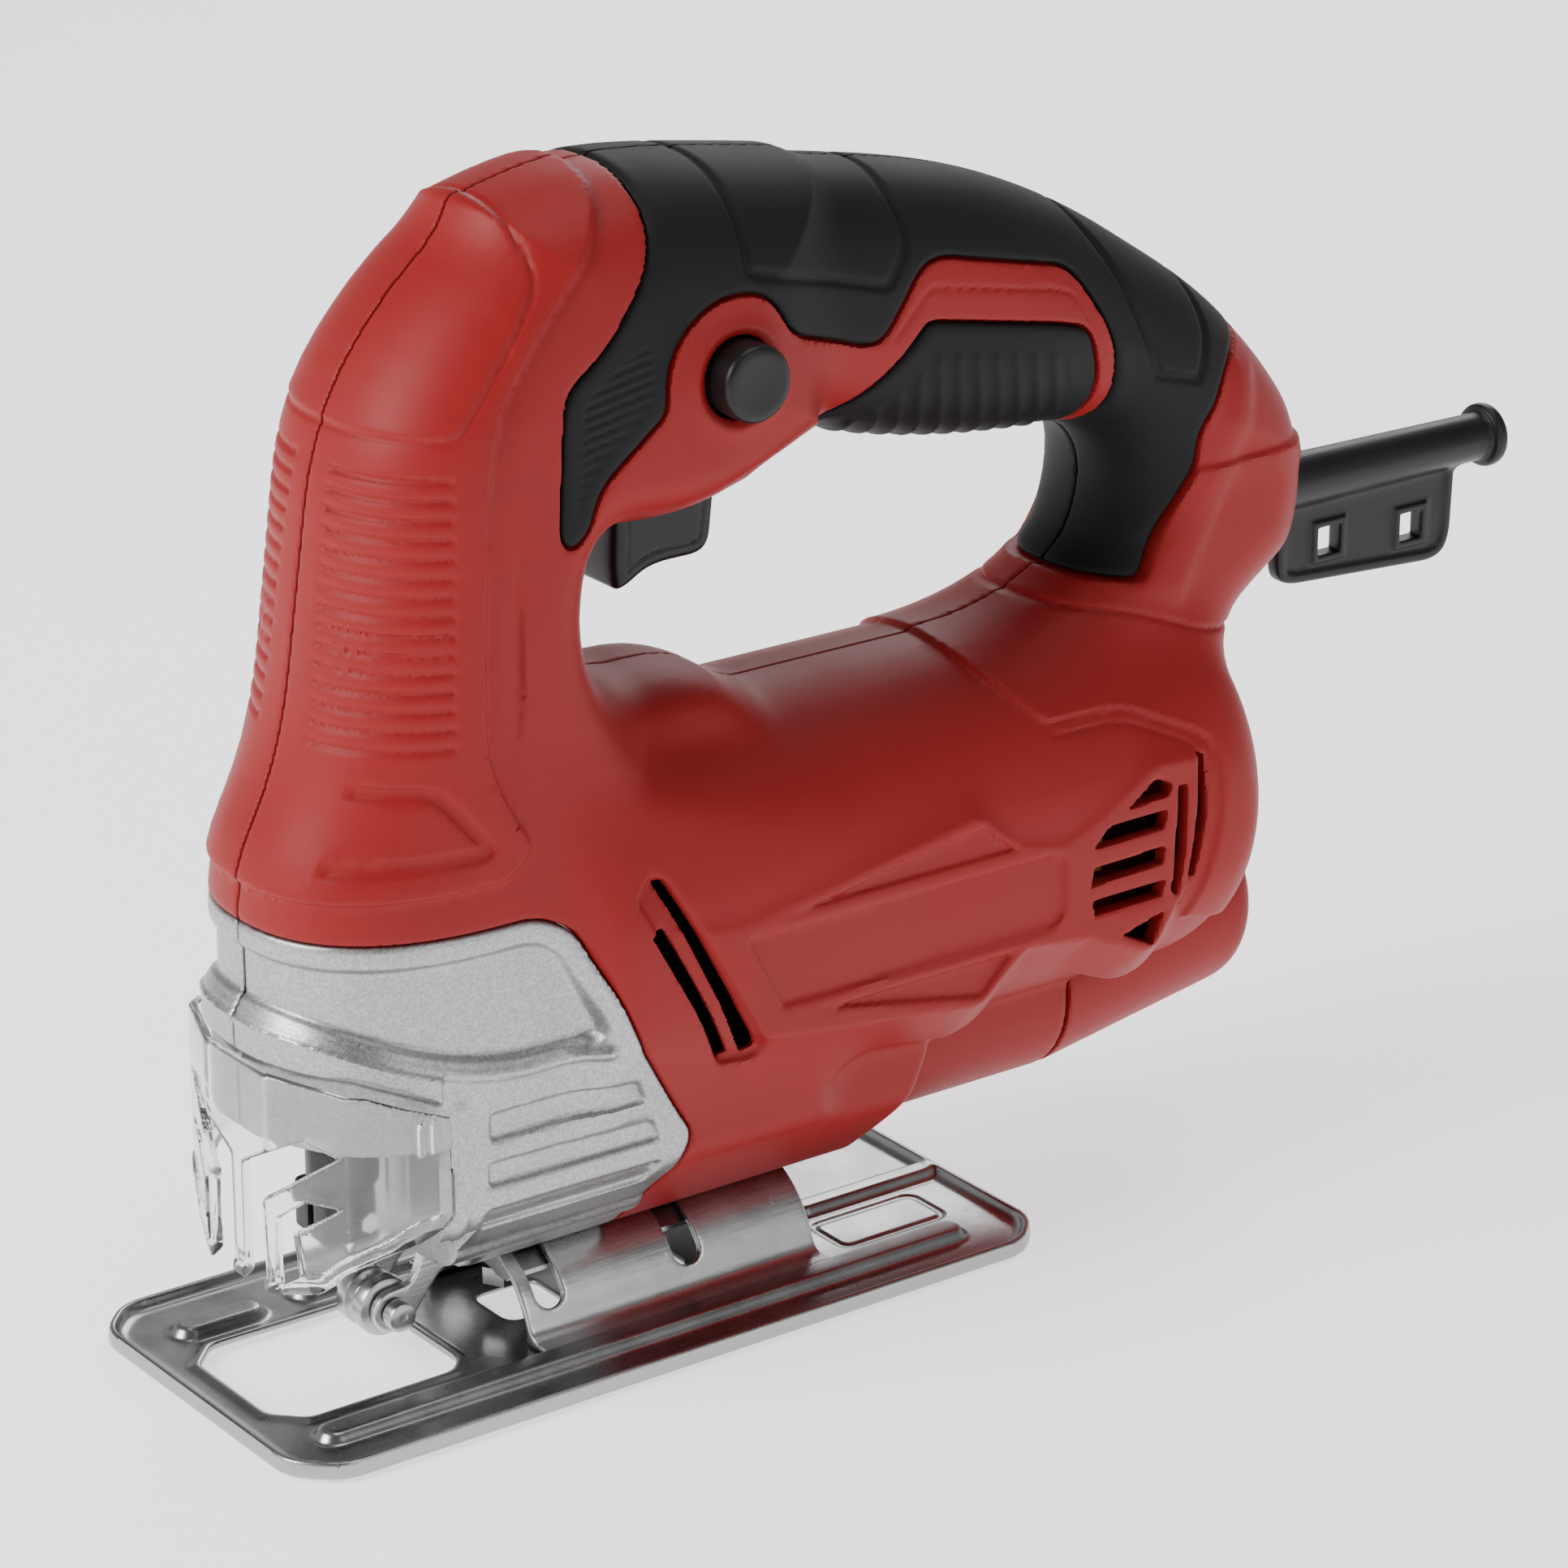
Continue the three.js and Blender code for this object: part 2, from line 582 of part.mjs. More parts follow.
const clampPlateOuter = archRadius - sheet - gap;
const clampPlateSlant = sheet * Math.SQRT2 + runningGap;
const clampPlateRoom = (sign) => frontCut([
  [sign * (9 - clampPlateSlant), 9], [sign * 60, 60 + clampPlateSlant], [sign * 60, 9],
], -60, 60);
clampY.forEach((y, index) => {
  add(`base_clamp_screw_${index + 1}`, join(
    cylinder(4, 6.5, 9.6, 'z', [0, y, 0], 6),
    cylinder(clampScrewRadius, 9.4, 29, 'z', [0, y, 0], 12),
  ), 'steel');
});
add('base_clamp_plate', cut(
  ring(clampPlateOuter, clampPlateOuter - 4.5, clampY[0] - 4, clampY[1] + 6, 'y', [0, 0, 0], 28),
  box(-40, 40, -60, 60, -40, 9.9), clampPlateRoom(1), clampPlateRoom(-1),
  ...clampY.map((y) => cylinder(clampScrewRadius + gap, 0, 30, 'z', [0, y, 0], 12)),
), 'steel');

// ---------------------------------------------------------------- blade guide roller
const rollerHalf = 4;
add('roller', turned([
  [1.6, -rollerHalf], [rollerRadius, -rollerHalf], [rollerRadius, -1.2], [rollerRadius - 1.4, -0.7],
  [rollerRadius - 1.4, 0.7], [rollerRadius, 1.2], [rollerRadius, rollerHalf], [1.6, rollerHalf],
  [1.6, -rollerHalf],
], 'x', [0, rollerY, rollerZ], 16), 'steel');
const forkInner = rollerHalf + 0.4;
const forkSheet = 1.8;
const forkOutline = [
  [rollerY - 3, rollerZ - 2.6, 2], [rollerY + 3, rollerZ - 3, 2], [rollerY + 10, rollerZ + 5.5, 1],
  [-25.5, rollerZ + 5.5, 1], [-25.5, caseFloor - gap], [rollerY + 5.6, caseFloor - gap],
  [rollerY + 4, rollerZ + 4, 2], [rollerY - 3, rollerZ + 3, 2],
];
add('roller_pin', join(
  site(1.5, -forkInner - forkSheet - 1, forkInner + forkSheet + 1, [rollerY, rollerZ], 16),
  site(2.6, forkInner + forkSheet + gap, forkInner + forkSheet + 3, [rollerY, rollerZ], 20),
), 'steel');
add('roller_bracket', cut(join(
  sideCut(forkOutline, forkInner, forkInner + forkSheet),
  sideCut(forkOutline, -forkInner - forkSheet, -forkInner),
  box(-forkInner - 0.5, forkInner + 0.5, -30, -25.5, caseFloor - gap - 1.8, caseFloor - gap),
), site(1.5 + 0.05, -10, 10, [rollerY, rollerZ], 16)), 'zinc');

// ---------------------------------------------------------------- clear guard
const guardGap = 0.6;
const guardSheet = 1.6;
const guardTop = 60;
const guardRear = -38;
const guardPlan = (offset, rear = guardRear) => [
  [-caseHalf - offset, rear], [-caseHalf - offset, caseFront + 9, 6], [-10, caseFront - offset - 0.5, 10],
  [10, caseFront - offset - 0.5, 10], [caseHalf + offset, caseFront + 9, 6], [caseHalf + offset, rear],
];
const guardSide = [
  [-80, guardTop + 3], [-80, 12], [-64, 12, 3], [guardRear, 31, 2], [guardRear, guardTop - 6, 3],
  [-52, guardTop - 2, 4],
];
const guardFront = [
  [-40, 70], [-40, 42], [-caseHalf, 38, 4], [-6, 9, 3], [6, 9, 3], [caseHalf, 38, 4], [40, 42], [40, 70],
];
const guardWindow = box(-6, 6, -80, -60, 24, 44);
add('chip_guard', largest(cut(
  planCut(guardPlan(guardGap + guardSheet), 8, guardTop + 3).intersect(sideCut(guardSide, -60, 60))
    .intersect(frontCut(guardFront, -80, -30)),
  planCut(guardPlan(guardGap, guardRear + 8), 0, guardTop + 10),
  guardWindow,
)), 'clear');

// ---------------------------------------------------------------- plunger, yoke and blade clamp
add('plunger', cylinder(plungerRadius, plungerBottom, plungerTop, 'z', [0, plungerY, 0], 20), 'steel');
for (const [name, z] of [['lower', lowerBushZ], ['upper', upperBushZ]]) {
  add(`plunger_bushing_${name}`, ring(bushRadius, plungerRadius + 0.05, z, z + bushHeight, 'z',
    [0, plungerY, 0], 20), 'bronze');
}
const clampTop = plungerBottom - 0.1;
add('blade_clamp', cut(join(
  ring(plungerRadius + 2.4, plungerRadius + 0.05, plungerBottom - 0.2, plungerBottom + 7, 'z',
    [0, plungerY, 0], 20),
  box(-5.5, 5.5, plungerY - 6.5, plungerY + 3.5, clampTop - 9, clampTop),
), box(-0.9, 0.9, plungerY - 8, plungerY, clampTop - 12, clampTop - 2)), 'dark');
for (const [index, x] of [-1, 1].entries()) {
  add(`blade_clamp_screw_${index + 1}`, site(1.8, x > 0 ? 5.8 : -8.4, x > 0 ? 8.4 : -5.8,
    [plungerY, clampTop - 5], 6), 'steel');
}

const crank = stroke / 2;
const crankPinRadius = 3;
const yokeRear = gearY - 5;
const yokeFront = plungerY + plungerRadius + gap;
const yokeHalf = crank + crankPinRadius + 2.5;
add('yoke', cut(
  box(-yokeHalf, yokeHalf, yokeFront, yokeRear, gearZ - yokeHeight, gearZ + yokeHeight),
  box(-yokeHalf + 2, yokeHalf - 2, yokeFront + 1.6, yokeRear + 1,
    gearZ - yokeHeight + 2.2, gearZ + yokeHeight - 2.2),
), 'steel');

// ---------------------------------------------------------------- gears
function gearSolid(teeth, y0, y1, z, turn, bore) {
  const pitch = gearModule * teeth / 2;
  const tip = pitch + gearModule * 0.8;
  const root = pitch - gearModule * 1.1;
  const step = 2 * Math.PI / teeth;
  const corners = [];
  for (let tooth = 0; tooth < teeth; tooth += 1) {
    const middle = turn + tooth * step;
    for (const [radius, share] of [[root, -0.34], [tip, -0.11], [tip, 0.11], [root, 0.34]]) {
      const angle = middle + share * step;
      corners.push([radius * Math.cos(angle), z + radius * Math.sin(angle)]);
    }
  }
  return cut(frontCut(corners, y0, y1), cylinder(bore, y0 - 1, y1 + 1, 'y', [0, 0, z], 20));
}
const axleRadius = 4;
const gearRear = gearY + gearWidth;
add('drive_gear', cut(gearSolid(gearTeeth, gearY, gearRear, gearZ, -Math.PI / 2, axleRadius + 0.05),
  ring(gearRadius - 4, 9, gearY + 5, gearRear + 1, 'y', [0, 0, gearZ], 32)), 'steel');
add('crank_pin', cylinder(crankPinRadius, yokeRear + gap, gearY - gap, 'y',
  [crank, 0, gearZ], 16), 'steel');
const axleRear = bearingFrontY - bearingWidth / 2 - gap;
add('gear_axle', cylinder(axleRadius, gearY + 0.5, axleRear, 'y', [0, 0, gearZ], 20), 'steel');
add('gear_plate', cut(
  frontCut([
    [-20, motorZ - 14, 4], [20, motorZ - 14, 4], [21, gearZ, 4], [14, gearZ + 15, 4],
    [-14, gearZ + 15, 4], [-21, gearZ, 4],
  ], gearRear + 1.5, gearRear + 4.5),
  cylinder(axleRadius + 0.05, -60, 20, 'y', [0, 0, gearZ], 20),
  cylinder(shaftRadius + 1, -60, 20, 'y', [0, 0, motorZ], 20),
), 'lamination');
const pinionTurn = Math.PI / 2 - Math.PI / pinionTeeth;
add('pinion', gearSolid(pinionTeeth, gearY, gearRear, motorZ, pinionTurn, shaftNose + 0.05), 'steel');

// ---------------------------------------------------------------- motor
const shaftFront = gearY - 0.5;
const shaftRear = bearingRearY + bearingWidth / 2 + 1;
add('armature_shaft', turned([
  [0, shaftFront], [shaftNose, shaftFront], [shaftNose, gearRear + 0.5], [shaftRadius, gearRear + 1],
  [shaftRadius, shaftRear - 1], [shaftRadius - 1, shaftRear], [0, shaftRear],
], 'y', [0, 0, motorZ], 20), 'steel');
for (const [name, y] of [['front', bearingFrontY], ['rear', bearingRearY]]) {
  add(`bearing_${name}`, ring(bearingRadius, shaftRadius + 0.05, y - bearingWidth / 2, y + bearingWidth / 2,
    'y', [0, 0, motorZ], 20), 'steel');
}
const armatureSlots = 12;
const coreCorners = [];
for (let slot = 0; slot < armatureSlots; slot += 1) {
  const middle = slot * 2 * Math.PI / armatureSlots;
  const bottom = coreRadius - 3.5;
  for (const [radius, turn] of [[coreRadius, -0.2], [coreRadius, 0.2], [bottom, 0.2], [bottom, 0.32]]) {
    coreCorners.push([radius * Math.cos(middle + turn), motorZ + radius * Math.sin(middle + turn)]);
  }
}
add('armature_core', cut(frontCut(coreCorners, fieldFront + 2, fieldRear - 2),
  cylinder(shaftRadius + gap, 0, 100, 'y', [0, 0, motorZ], 20)), 'lamination');
const windings = [
  ['front', fieldFront - 5, fieldFront + 2 - gap], ['rear', fieldRear - 2 + gap, fieldRear + 6],
];
for (const [name, y0, y1] of windings) {
  add(`armature_winding_${name}`, turned([
    [shaftRadius + gap, y0], [coreRadius - 4, y0], [coreRadius - 2, (y0 + y1) / 2], [coreRadius - 4, y1],
    [shaftRadius + gap, y1], [shaftRadius + gap, y0],
  ], 'y', [0, 0, motorZ], 24), 'copper');
}
add('commutator', ring(commutatorRadius, shaftRadius + gap, commutatorFront, commutatorRear, 'y',
  [0, 0, motorZ], 24), 'copper');

const fieldBore = coreRadius + 0.8;
const coilDepth = 6;
const coilNear = 3;
const coilFar = 10;
const coilHalf = fieldRadius - 6.5;
const coilBand = (side, half, y0, y1, near, far) =>
  box(-half, half, y0, y1,
    motorZ + Math.min(side * near, side * far), motorZ + Math.max(side * near, side * far));
add('field_core', cut(
  cylinder(fieldRadius, fieldFront, fieldRear, 'y', [0, 0, motorZ], 24),
  cylinder(fieldBore, fieldFront - 1, fieldRear + 1, 'y', [0, 0, motorZ], 24),
  ...[-1, 1].map((side) => coilBand(side, coilHalf, fieldFront - 1, fieldRear + 1, coilNear, coilFar)),
), 'lamination');
for (const [name, side] of [['upper', 1], ['lower', -1]]) {
  const half = coilHalf - gap;
  const near = coilNear + gap;
  const loop = coilBand(side, half, fieldFront - coilDepth, fieldRear + coilDepth, near, coilFar - gap);
  const frontArm = coilBand(side, half, fieldFront - coilDepth, fieldFront - 1, near, coilFar * 2);
  const rearArm = coilBand(side, half, fieldRear + 1, fieldRear + coilDepth, near, coilFar * 2);
  const bore = cylinder(fieldBore + 0.2, fieldFront - 20, fieldRear + 20, 'y', [0, 0, motorZ], 24);
  add(`field_coil_${name}`, largest(cut(join(loop, frontArm, rearArm), bore)), 'copper');
}

const bladeCount = 9;
const barrelBore = barrelRadius - wall;
const vaneLength = barrelBore - 13;
const vaneWidth = fanWidth - 0.8;
let fan = join(
  ring(9, shaftRadius + gap, fanY, fanY + fanWidth, 'y', [0, 0, motorZ], 24),
  ring(barrelBore - 4, 8.5, fanY + fanWidth - 1.6, fanY + fanWidth, 'y', [0, 0, motorZ], 24),
);
for (let blade = 0; blade < bladeCount; blade += 1) {
  const vane = new THREE.BoxGeometry(vaneLength, vaneWidth, 1.6)
    .translate(vaneLength / 2 + 8.5, fanY + vaneWidth / 2 + 0.4, 0)
    .rotateY(blade * 2 * Math.PI / bladeCount).translate(0, 0, motorZ);
  fan = fan.add(solid(vane));
}
add('fan', fan, 'black');
add('air_baffle', ring(barrelBore - gap, coreRadius + 6, fanY + fanWidth + 1.2, fanY + fanWidth + 3, 'y',
  [0, 0, motorZ], 24), 'black');

const brushY = (commutatorFront + commutatorRear) / 2;
for (const side of [1, -1]) {
  const name = sideName(side);
  const near = side * (commutatorRadius + 2.2);
  const far = side * (barrelBore - 3);
  const block = (x0, x1, half) => box(Math.min(x0, x1), Math.max(x0, x1),
    brushY - half, brushY + half, motorZ - half, motorZ + half);
  const pocket = block(near - side, far - side * 2, 3 + gap);
  add(`brush_holder_${name}`, cut(block(near, far, 5), pocket), 'bronze');
  add(`brush_${name}`, block(side * (commutatorRadius + gap), far - side * 6, 3), 'carbon');
}

export default group;
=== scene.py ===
"""Corded jigsaw with a D-handle: its visible surfaces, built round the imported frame.

Lengths inside the shaping functions are millimetres in the frame's own axes: +Z up, -Y the cutting
direction, +X the operator's left. Moulded and pressed pieces are shaped as distance fields, which are
negative inside the material, and meshed at the end. Turned pieces are spun from a profile.
"""

import json
import math

import bmesh
import bpy
import numpy as np
import openvdb
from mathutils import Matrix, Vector


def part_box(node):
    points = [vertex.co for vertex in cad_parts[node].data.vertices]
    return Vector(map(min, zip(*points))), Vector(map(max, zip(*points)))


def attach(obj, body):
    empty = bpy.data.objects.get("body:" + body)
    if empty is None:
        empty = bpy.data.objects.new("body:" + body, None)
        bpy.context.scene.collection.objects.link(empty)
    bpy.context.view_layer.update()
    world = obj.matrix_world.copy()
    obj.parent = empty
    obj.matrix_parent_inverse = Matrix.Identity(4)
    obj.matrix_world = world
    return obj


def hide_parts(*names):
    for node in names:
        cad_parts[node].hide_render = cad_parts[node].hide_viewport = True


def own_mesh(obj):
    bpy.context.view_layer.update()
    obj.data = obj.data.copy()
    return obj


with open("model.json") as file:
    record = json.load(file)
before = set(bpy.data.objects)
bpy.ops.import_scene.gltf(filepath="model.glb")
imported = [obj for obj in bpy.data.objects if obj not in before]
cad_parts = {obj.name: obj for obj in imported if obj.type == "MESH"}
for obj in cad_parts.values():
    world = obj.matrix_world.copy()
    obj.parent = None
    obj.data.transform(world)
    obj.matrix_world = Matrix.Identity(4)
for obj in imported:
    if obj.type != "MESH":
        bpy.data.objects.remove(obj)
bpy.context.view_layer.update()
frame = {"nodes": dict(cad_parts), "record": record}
MM = 0.001


def span(node):
    """Lowest and highest corner of a frame node, in millimetres."""
    low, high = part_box(node)
    return np.array(low) / MM, np.array(high) / MM


# ---------------------------------------------------------------- sizes
PARTING = 0.13           # each housing half stops this far from the middle plane
LAP_DEPTH = 1.5          # below this depth the seam steps sideways, so that no light passes
LAP_REACH = 0.6          # how far it steps
LAP_GAP = 0.2
WALL = 2.4
SKIN = 1.6               # soft overmould over the hard core
MOTOR_Z = 70.0
BARREL_RADIUS = 34.6
BARREL_REAR = 126.5
PLATE_X = 34.0           # the flat side plate stands this far from the middle
TUBE_RADIUS = 17.5
TUBE_WALL = 2.5
TUBE_Z = 36.0
TUBE_JOINT = 93.0
TUBE_CLIMB = 0.16        # the dust outlet rises this much per mm behind its joint
SILVER_TOP = 84.0
FLOOR_Z = 20.0           # underside of the gearcase
SKIRT_Z = 15.5
CHAMBER_TOP, CHAMBER_REAR, CHAMBER_SIDE = 48.0, -37.0, -43.6
LOCK_Y, LOCK_Z, LOCK_RADIUS = 17.0, 165.0, 6.4
SCREW_SITES = [(-24, 172), (62, 177), (135, 127), (104, 102), (-2, 104), (40, 27)]
RIB_COUNT, RIB_PITCH, RIB_TOP = 15, 3.06, 157.3     # finger ribs down the front of the column
CORD_Z, CORD_BORE = 115.0, 3.3
SHEET = 1.4              # thickness of the sole and its saddle
SOLE_HALF, SOLE_END, SOLE_CORNER, RIM = 36.0, 76.5, 7.0, 3.6
ARCH_RADIUS = 17.0
ROLLER_Y, ROLLER_Z = -41.0, 10.0
PLUNGER_Y = -46.3
CLAMP_BLOCK_TOP = 33.9
ROD_RADIUS, ROD_CHAMFER = 3.8, 0.6
GUARD_HALF, GUARD_FRONT, GUARD_SHEET = 30.2, -66.2, 1.6
ADAPTIVITY = 0.006       # how far flat stretches of a meshed field are merged


# ---------------------------------------------------------------- fields
def blend_min(a, b, k):
    """Union of two fields with a fillet of about k."""
    h = np.clip(1 - np.abs(a - b) / k, 0, None)
    return np.minimum(a, b) - h * h * (k / 4)


def blend_max(a, b, k):
    """Intersection of two fields with an edge softened over about k."""
    h = np.clip(1 - np.abs(a - b) / k, 0, None)
    return np.maximum(a, b) + h * h * (k / 4)


def rise(field, width):
    """1 inside a flat field, 0 outside, with a smooth flank of the given width just inside it."""
    t = np.clip(-field / width, 0, 1)
    return t * t * (3 - 2 * t)


def outline(corners, arc=6, closed=True):
    """Points of a line through corners (a, b, radius), each corner rounded by its radius."""
    points, count = [], len(corners)
    for i, (a, b, *radius) in enumerate(corners):
        here, radius = np.array([a, b], float), (radius[0] if radius else 0)
        if radius == 0 or (not closed and i in (0, count - 1)):
            points.append(here)
            continue
        ends = []
        for other in (corners[i - 1], corners[(i + 1) % count]):
            leg = np.array(other[:2], float) - here
            size = np.hypot(*leg)
            ends.append(here + leg * min(radius, size * 0.5) / size)
        for t in np.linspace(0, 1, arc):
            points.append((1 - t) ** 2 * ends[0] + 2 * t * (1 - t) * here + t * t * ends[1])
    return np.array(points)


def line_distance(points, a, b, closed=False):
    """Distance to a line through points in a flat projection."""
    near = np.float32(1e8)
    ends = np.roll(points, -1, 0) if closed else points[1:]
    for (a0, b0), (a1, b1) in zip(points, ends):
        da, db = a1 - a0, b1 - b0
        size = da * da + db * db
        if size < 1e-9:
            continue
        t = np.clip(((a - a0) * da + (b - b0) * db) / size, 0, 1)
        near = np.minimum(near, (a - a0 - t * da) ** 2 + (b - b0 - t * db) ** 2)
    return np.sqrt(near)


def area(points, a, b):
    """Signed distance to a closed outline in a flat projection, negative inside."""
    inside = np.zeros(np.broadcast(a, b).shape, bool)
    for (a0, b0), (a1, b1) in zip(points, np.roll(points, -1, 0)):
        if b0 != b1:
            inside ^= ((b0 > b) != (b1 > b)) & (a < a0 + (b - b0) * (a1 - a0) / (b1 - b0))
    return np.where(inside, -1, 1) * line_distance(points, a, b, closed=True)


def along(z, *stations):
    """A value that runs smoothly through (z, value) stations."""
    heights, values = zip(*stations)
    return np.interp(z, heights, values)


def pillow(side, across, half, roll, power):
    """A block with the flat outline `side`, `half` wide each way, whose section rolls off as a
    superellipse over `roll` from its outline. half and roll are numbers or flat fields."""
    inward = np.clip(side / roll + 1, 1e-3, None)
    total = inward ** power + across ** power * half ** -power
    slope = inward ** (2 * power - 2) / roll ** 2 + across ** (2 * power - 2) * half ** (-2 * power)
    scale = total ** (1 / power)
    return (scale - 1) * total / np.maximum(scale * np.sqrt(slope), 1e-4)


# ---------------------------------------------------------------- housing form
FRONT = [(-40, -64.5), (60, -64.5), (86, -63.8), (92, -62.3), (100, -58.8), (110, -55.2), (120, -52.4),
         (164, -46.5), (230, -46.5)]
COLUMN = [(-64.5, -60), (-64.5, 91, 9), (-54.3, 110, 14), (-46.3, 164, 14), (-30, 184.5, 18),
          (-12, 195.5, 16), (8, 197.5, 16), (40, 192), (40, 150), (12, 139.5, 8), (-6, 141, 6),
          (-8.8, 124, 10), (2, 104), (40, 90), (40, -60)]
HANDLE = [(-20, 194), (4, 197.3, 22), (26, 195, 22), (49, 191.6, 22), (72, 187.2, 22), (90, 181, 20),
          (108, 171.4, 20), (126, 158, 20), (141.5, 141.5, 12), (146, 126), (109, 118),
          (109.5, 131, 9), (100, 138.4, 9), (79, 139.8, 12), (63, 142.2, 12), (49, 145.6, 8),
          (38, 150, 5), (30.5, 148.5, 5), (26, 140.5, 3), (-20, 140.5)]
LEG = [(100, 166), (124, 158, 10), (141, 142, 8), (147.6, 134, 9), (149.6, 121, 9), (147, 108, 6),
       (139, 102.5, 6), (133, 98, 6), (126, 88), (120, 66), (76, 66), (73, 97.5, 8), (92, 107.5, 10),
       (104, 115, 8), (109, 127, 8)]
SKIRT = [(-30, 62), (-30, SKIRT_Z), (50, SKIRT_Z), (57, 30), (60, 37), (60, 62)]
BUMP = [(-30, 90), (-30, 112, 6), (20, 112.5, 10), (30, 104, 6), (34, 90)]
PLATE = [(-2, 77), (10, 75.6), (59.5, 83.2, 2), (68.7, 75.6, 2), (78, 73.8, 2), (86, 77), (98, 84, 3),
         (108, 83), (105, 60), (98, 49.5, 3), (84, 55.5), (70, 57.2, 2), (60, 49, 2), (14, 55), (4, 66)]


def body_fields(across, y, z):
    """The outside of the housing before its grooves, first without and then with its open underside."""
    front = along(z, *FRONT)
    roll = along(z, (60, 33), (83, 33), (110, 28), (164, 22), (200, 21)) + 0 * y
    back_roll = along(z, (110, 12), (150, 12), (168, 21))
    roll = np.where(y < front + roll, roll, back_roll + 0 * y)
    half = along(z, (40, 28), (62, 28), (84, 27), (110, 25.3), (164, 24.6), (200, 23)) + 0 * y
    column = pillow(area(outline(COLUMN), y, z), across, half, roll, 2.4)
    handle = pillow(area(outline(HANDLE), y, z), across, 19.5, 20.0, 2.1)
    leg = pillow(area(outline(LEG), y, z), across, 18.0, 15.0, 2.3)
    skirt = pillow(area(outline(SKIRT), y, z), across, 24.0, 5.0, 2.5)
    barrel = blend_max(np.hypot(across, z - MOTOR_Z) - BARREL_RADIUS, y - BARREL_REAR, 16)
    barrel = blend_max(barrel, -14 - y, 6)
    plate = np.maximum(area(outline(PLATE), y, z), 0)
    plate = np.maximum((across - PLATE_X + 0.95 * plate) / 1.38, plate - 8)
    barrel = blend_min(blend_max(barrel, across - PLATE_X, 2), plate, 1.2)
    tube = blend_max(np.hypot(across, z - TUBE_Z) - TUBE_RADIUS, np.abs(y - 63.4) - 29.4, 1)
    bump = pillow(area(outline(BUMP), y, z), across, 17.0, 9.0, 2.4)
    body = blend_min(column, handle, 7)
    body = blend_min(body, blend_min(barrel, bump, 5), 9)
    body = blend_min(body, leg, 7)
    closed = blend_max(body, np.maximum(FLOOR_Z - z, -60 - 0 * y), 3)
    closed = blend_min(closed, skirt, 4)
    closed = blend_min(closed, tube, 2)
    tilt_room = (across - 6.2 - (z - 12)) / math.sqrt(2)
    closed = blend_max(closed, np.where(y < 64, tilt_room, -50), 2.5)
    arch = ARCH_RADIUS + 0.35 - np.hypot(across, z)
    return body, blend_max(closed, np.where((y > -22) & (y < 39), arch, -50), 0.8)


# Flat zones and lines of the side view, as (y, z, corner radius).
SHIELD = [(-80, 89.6), (-30, 90.6, 3), (-24.4, 95.3, 3), (-32.6, 110, 9), (-31.4, 140, 20),
          (-29.6, 164, 12), (-20, 177, 10), (-9.5, 187, 8), (-4.5, 193, 4), (0, 200), (0, 220), (-80, 220)]
VISOR = [(-80, 163.2), (-35, 163.2, 2), (-17.8, 185.4, 3), (-19.2, 200), (-80, 200)]
HOOK = [(-70, 108.6), (-41.5, 107.5, 3), (-33, 96.6, 2), (-70, 95.8)]
COLLAR = [(69.5, 130), (69.5, 104.5), (72, 101), (79, 93, 2), (95.5, 92.7, 3), (112, 85.2, 4),
          (112.6, 72, 9), (107, 52), (130, 45), (160, 60), (160, 130)]
COLLAR_LINE = [(80.6, 91.2, 2), (95.4, 90.7, 3), (108.8, 84.6, 4), (109.4, 74, 6), (105.5, 56)]
LEG_LINE = [(84, 110), (92.5, 107.8, 2), (105, 105.8, 4), (119, 100.3, 3), (140, 96)]
LEG_FACET = [(126, 150), (118.5, 130, 4), (104, 108, 3), (116, 104, 3), (128, 128, 6), (134, 146)]
PANELS = [[(17.3, 75.3), (60.2, 81.4), (68.2, 75.3)],
          [(11, 73.4), (76, 73.2, 1.5), (78.2, 71.6, 1.5), (78.4, 61.2, 1.5), (75.6, 58.9, 1.5),
           (18.4, 59.2)],
          [(24.5, 57.2), (67.6, 57.2), (60.5, 50.2)]]
VENT_POCKET = [(-9.8, 84, 2), (-6, 88, 2), (-2.6, 87, 2), (16.6, 52.6, 2), (15, 49.8, 2), (7.2, 50, 2)]
VENT_SLOTS = [[(-7, 77.5), (-4.4, 78.5), (9.8, 52.4), (7.4, 51.8)],
              [(-5.2, 86), (-3.2, 86), (14.6, 52.8), (12.2, 51.8)]]
REAR_SLOTS = [[(91.6, 77.3), (97.8, 81.4, 1), (101.6, 79.6, 0.6), (100.5, 77.7)],
              [(84, 71.6), (87.4, 75, 0.6), (100.4, 75.3, 0.5), (99.8, 72)],
              [(83.9, 64.9), (84.2, 68.3), (100.1, 68.6, 0.5), (99.8, 65.5)],
              [(84.8, 59.2), (84.2, 62), (100.3, 62.3, 0.5), (99.6, 59.4)],
              [(91.5, 54), (100.6, 56.4, 0.5), (98, 50.6)],
              [(102.9, 79), (104.8, 79), (104.6, 66), (103.4, 58.6, 0.6), (101.9, 59.6, 0.6)],
              [(107.4, 84), (109.4, 83), (109.6, 72), (107.6, 61), (105.7, 61.5), (107, 72)]]
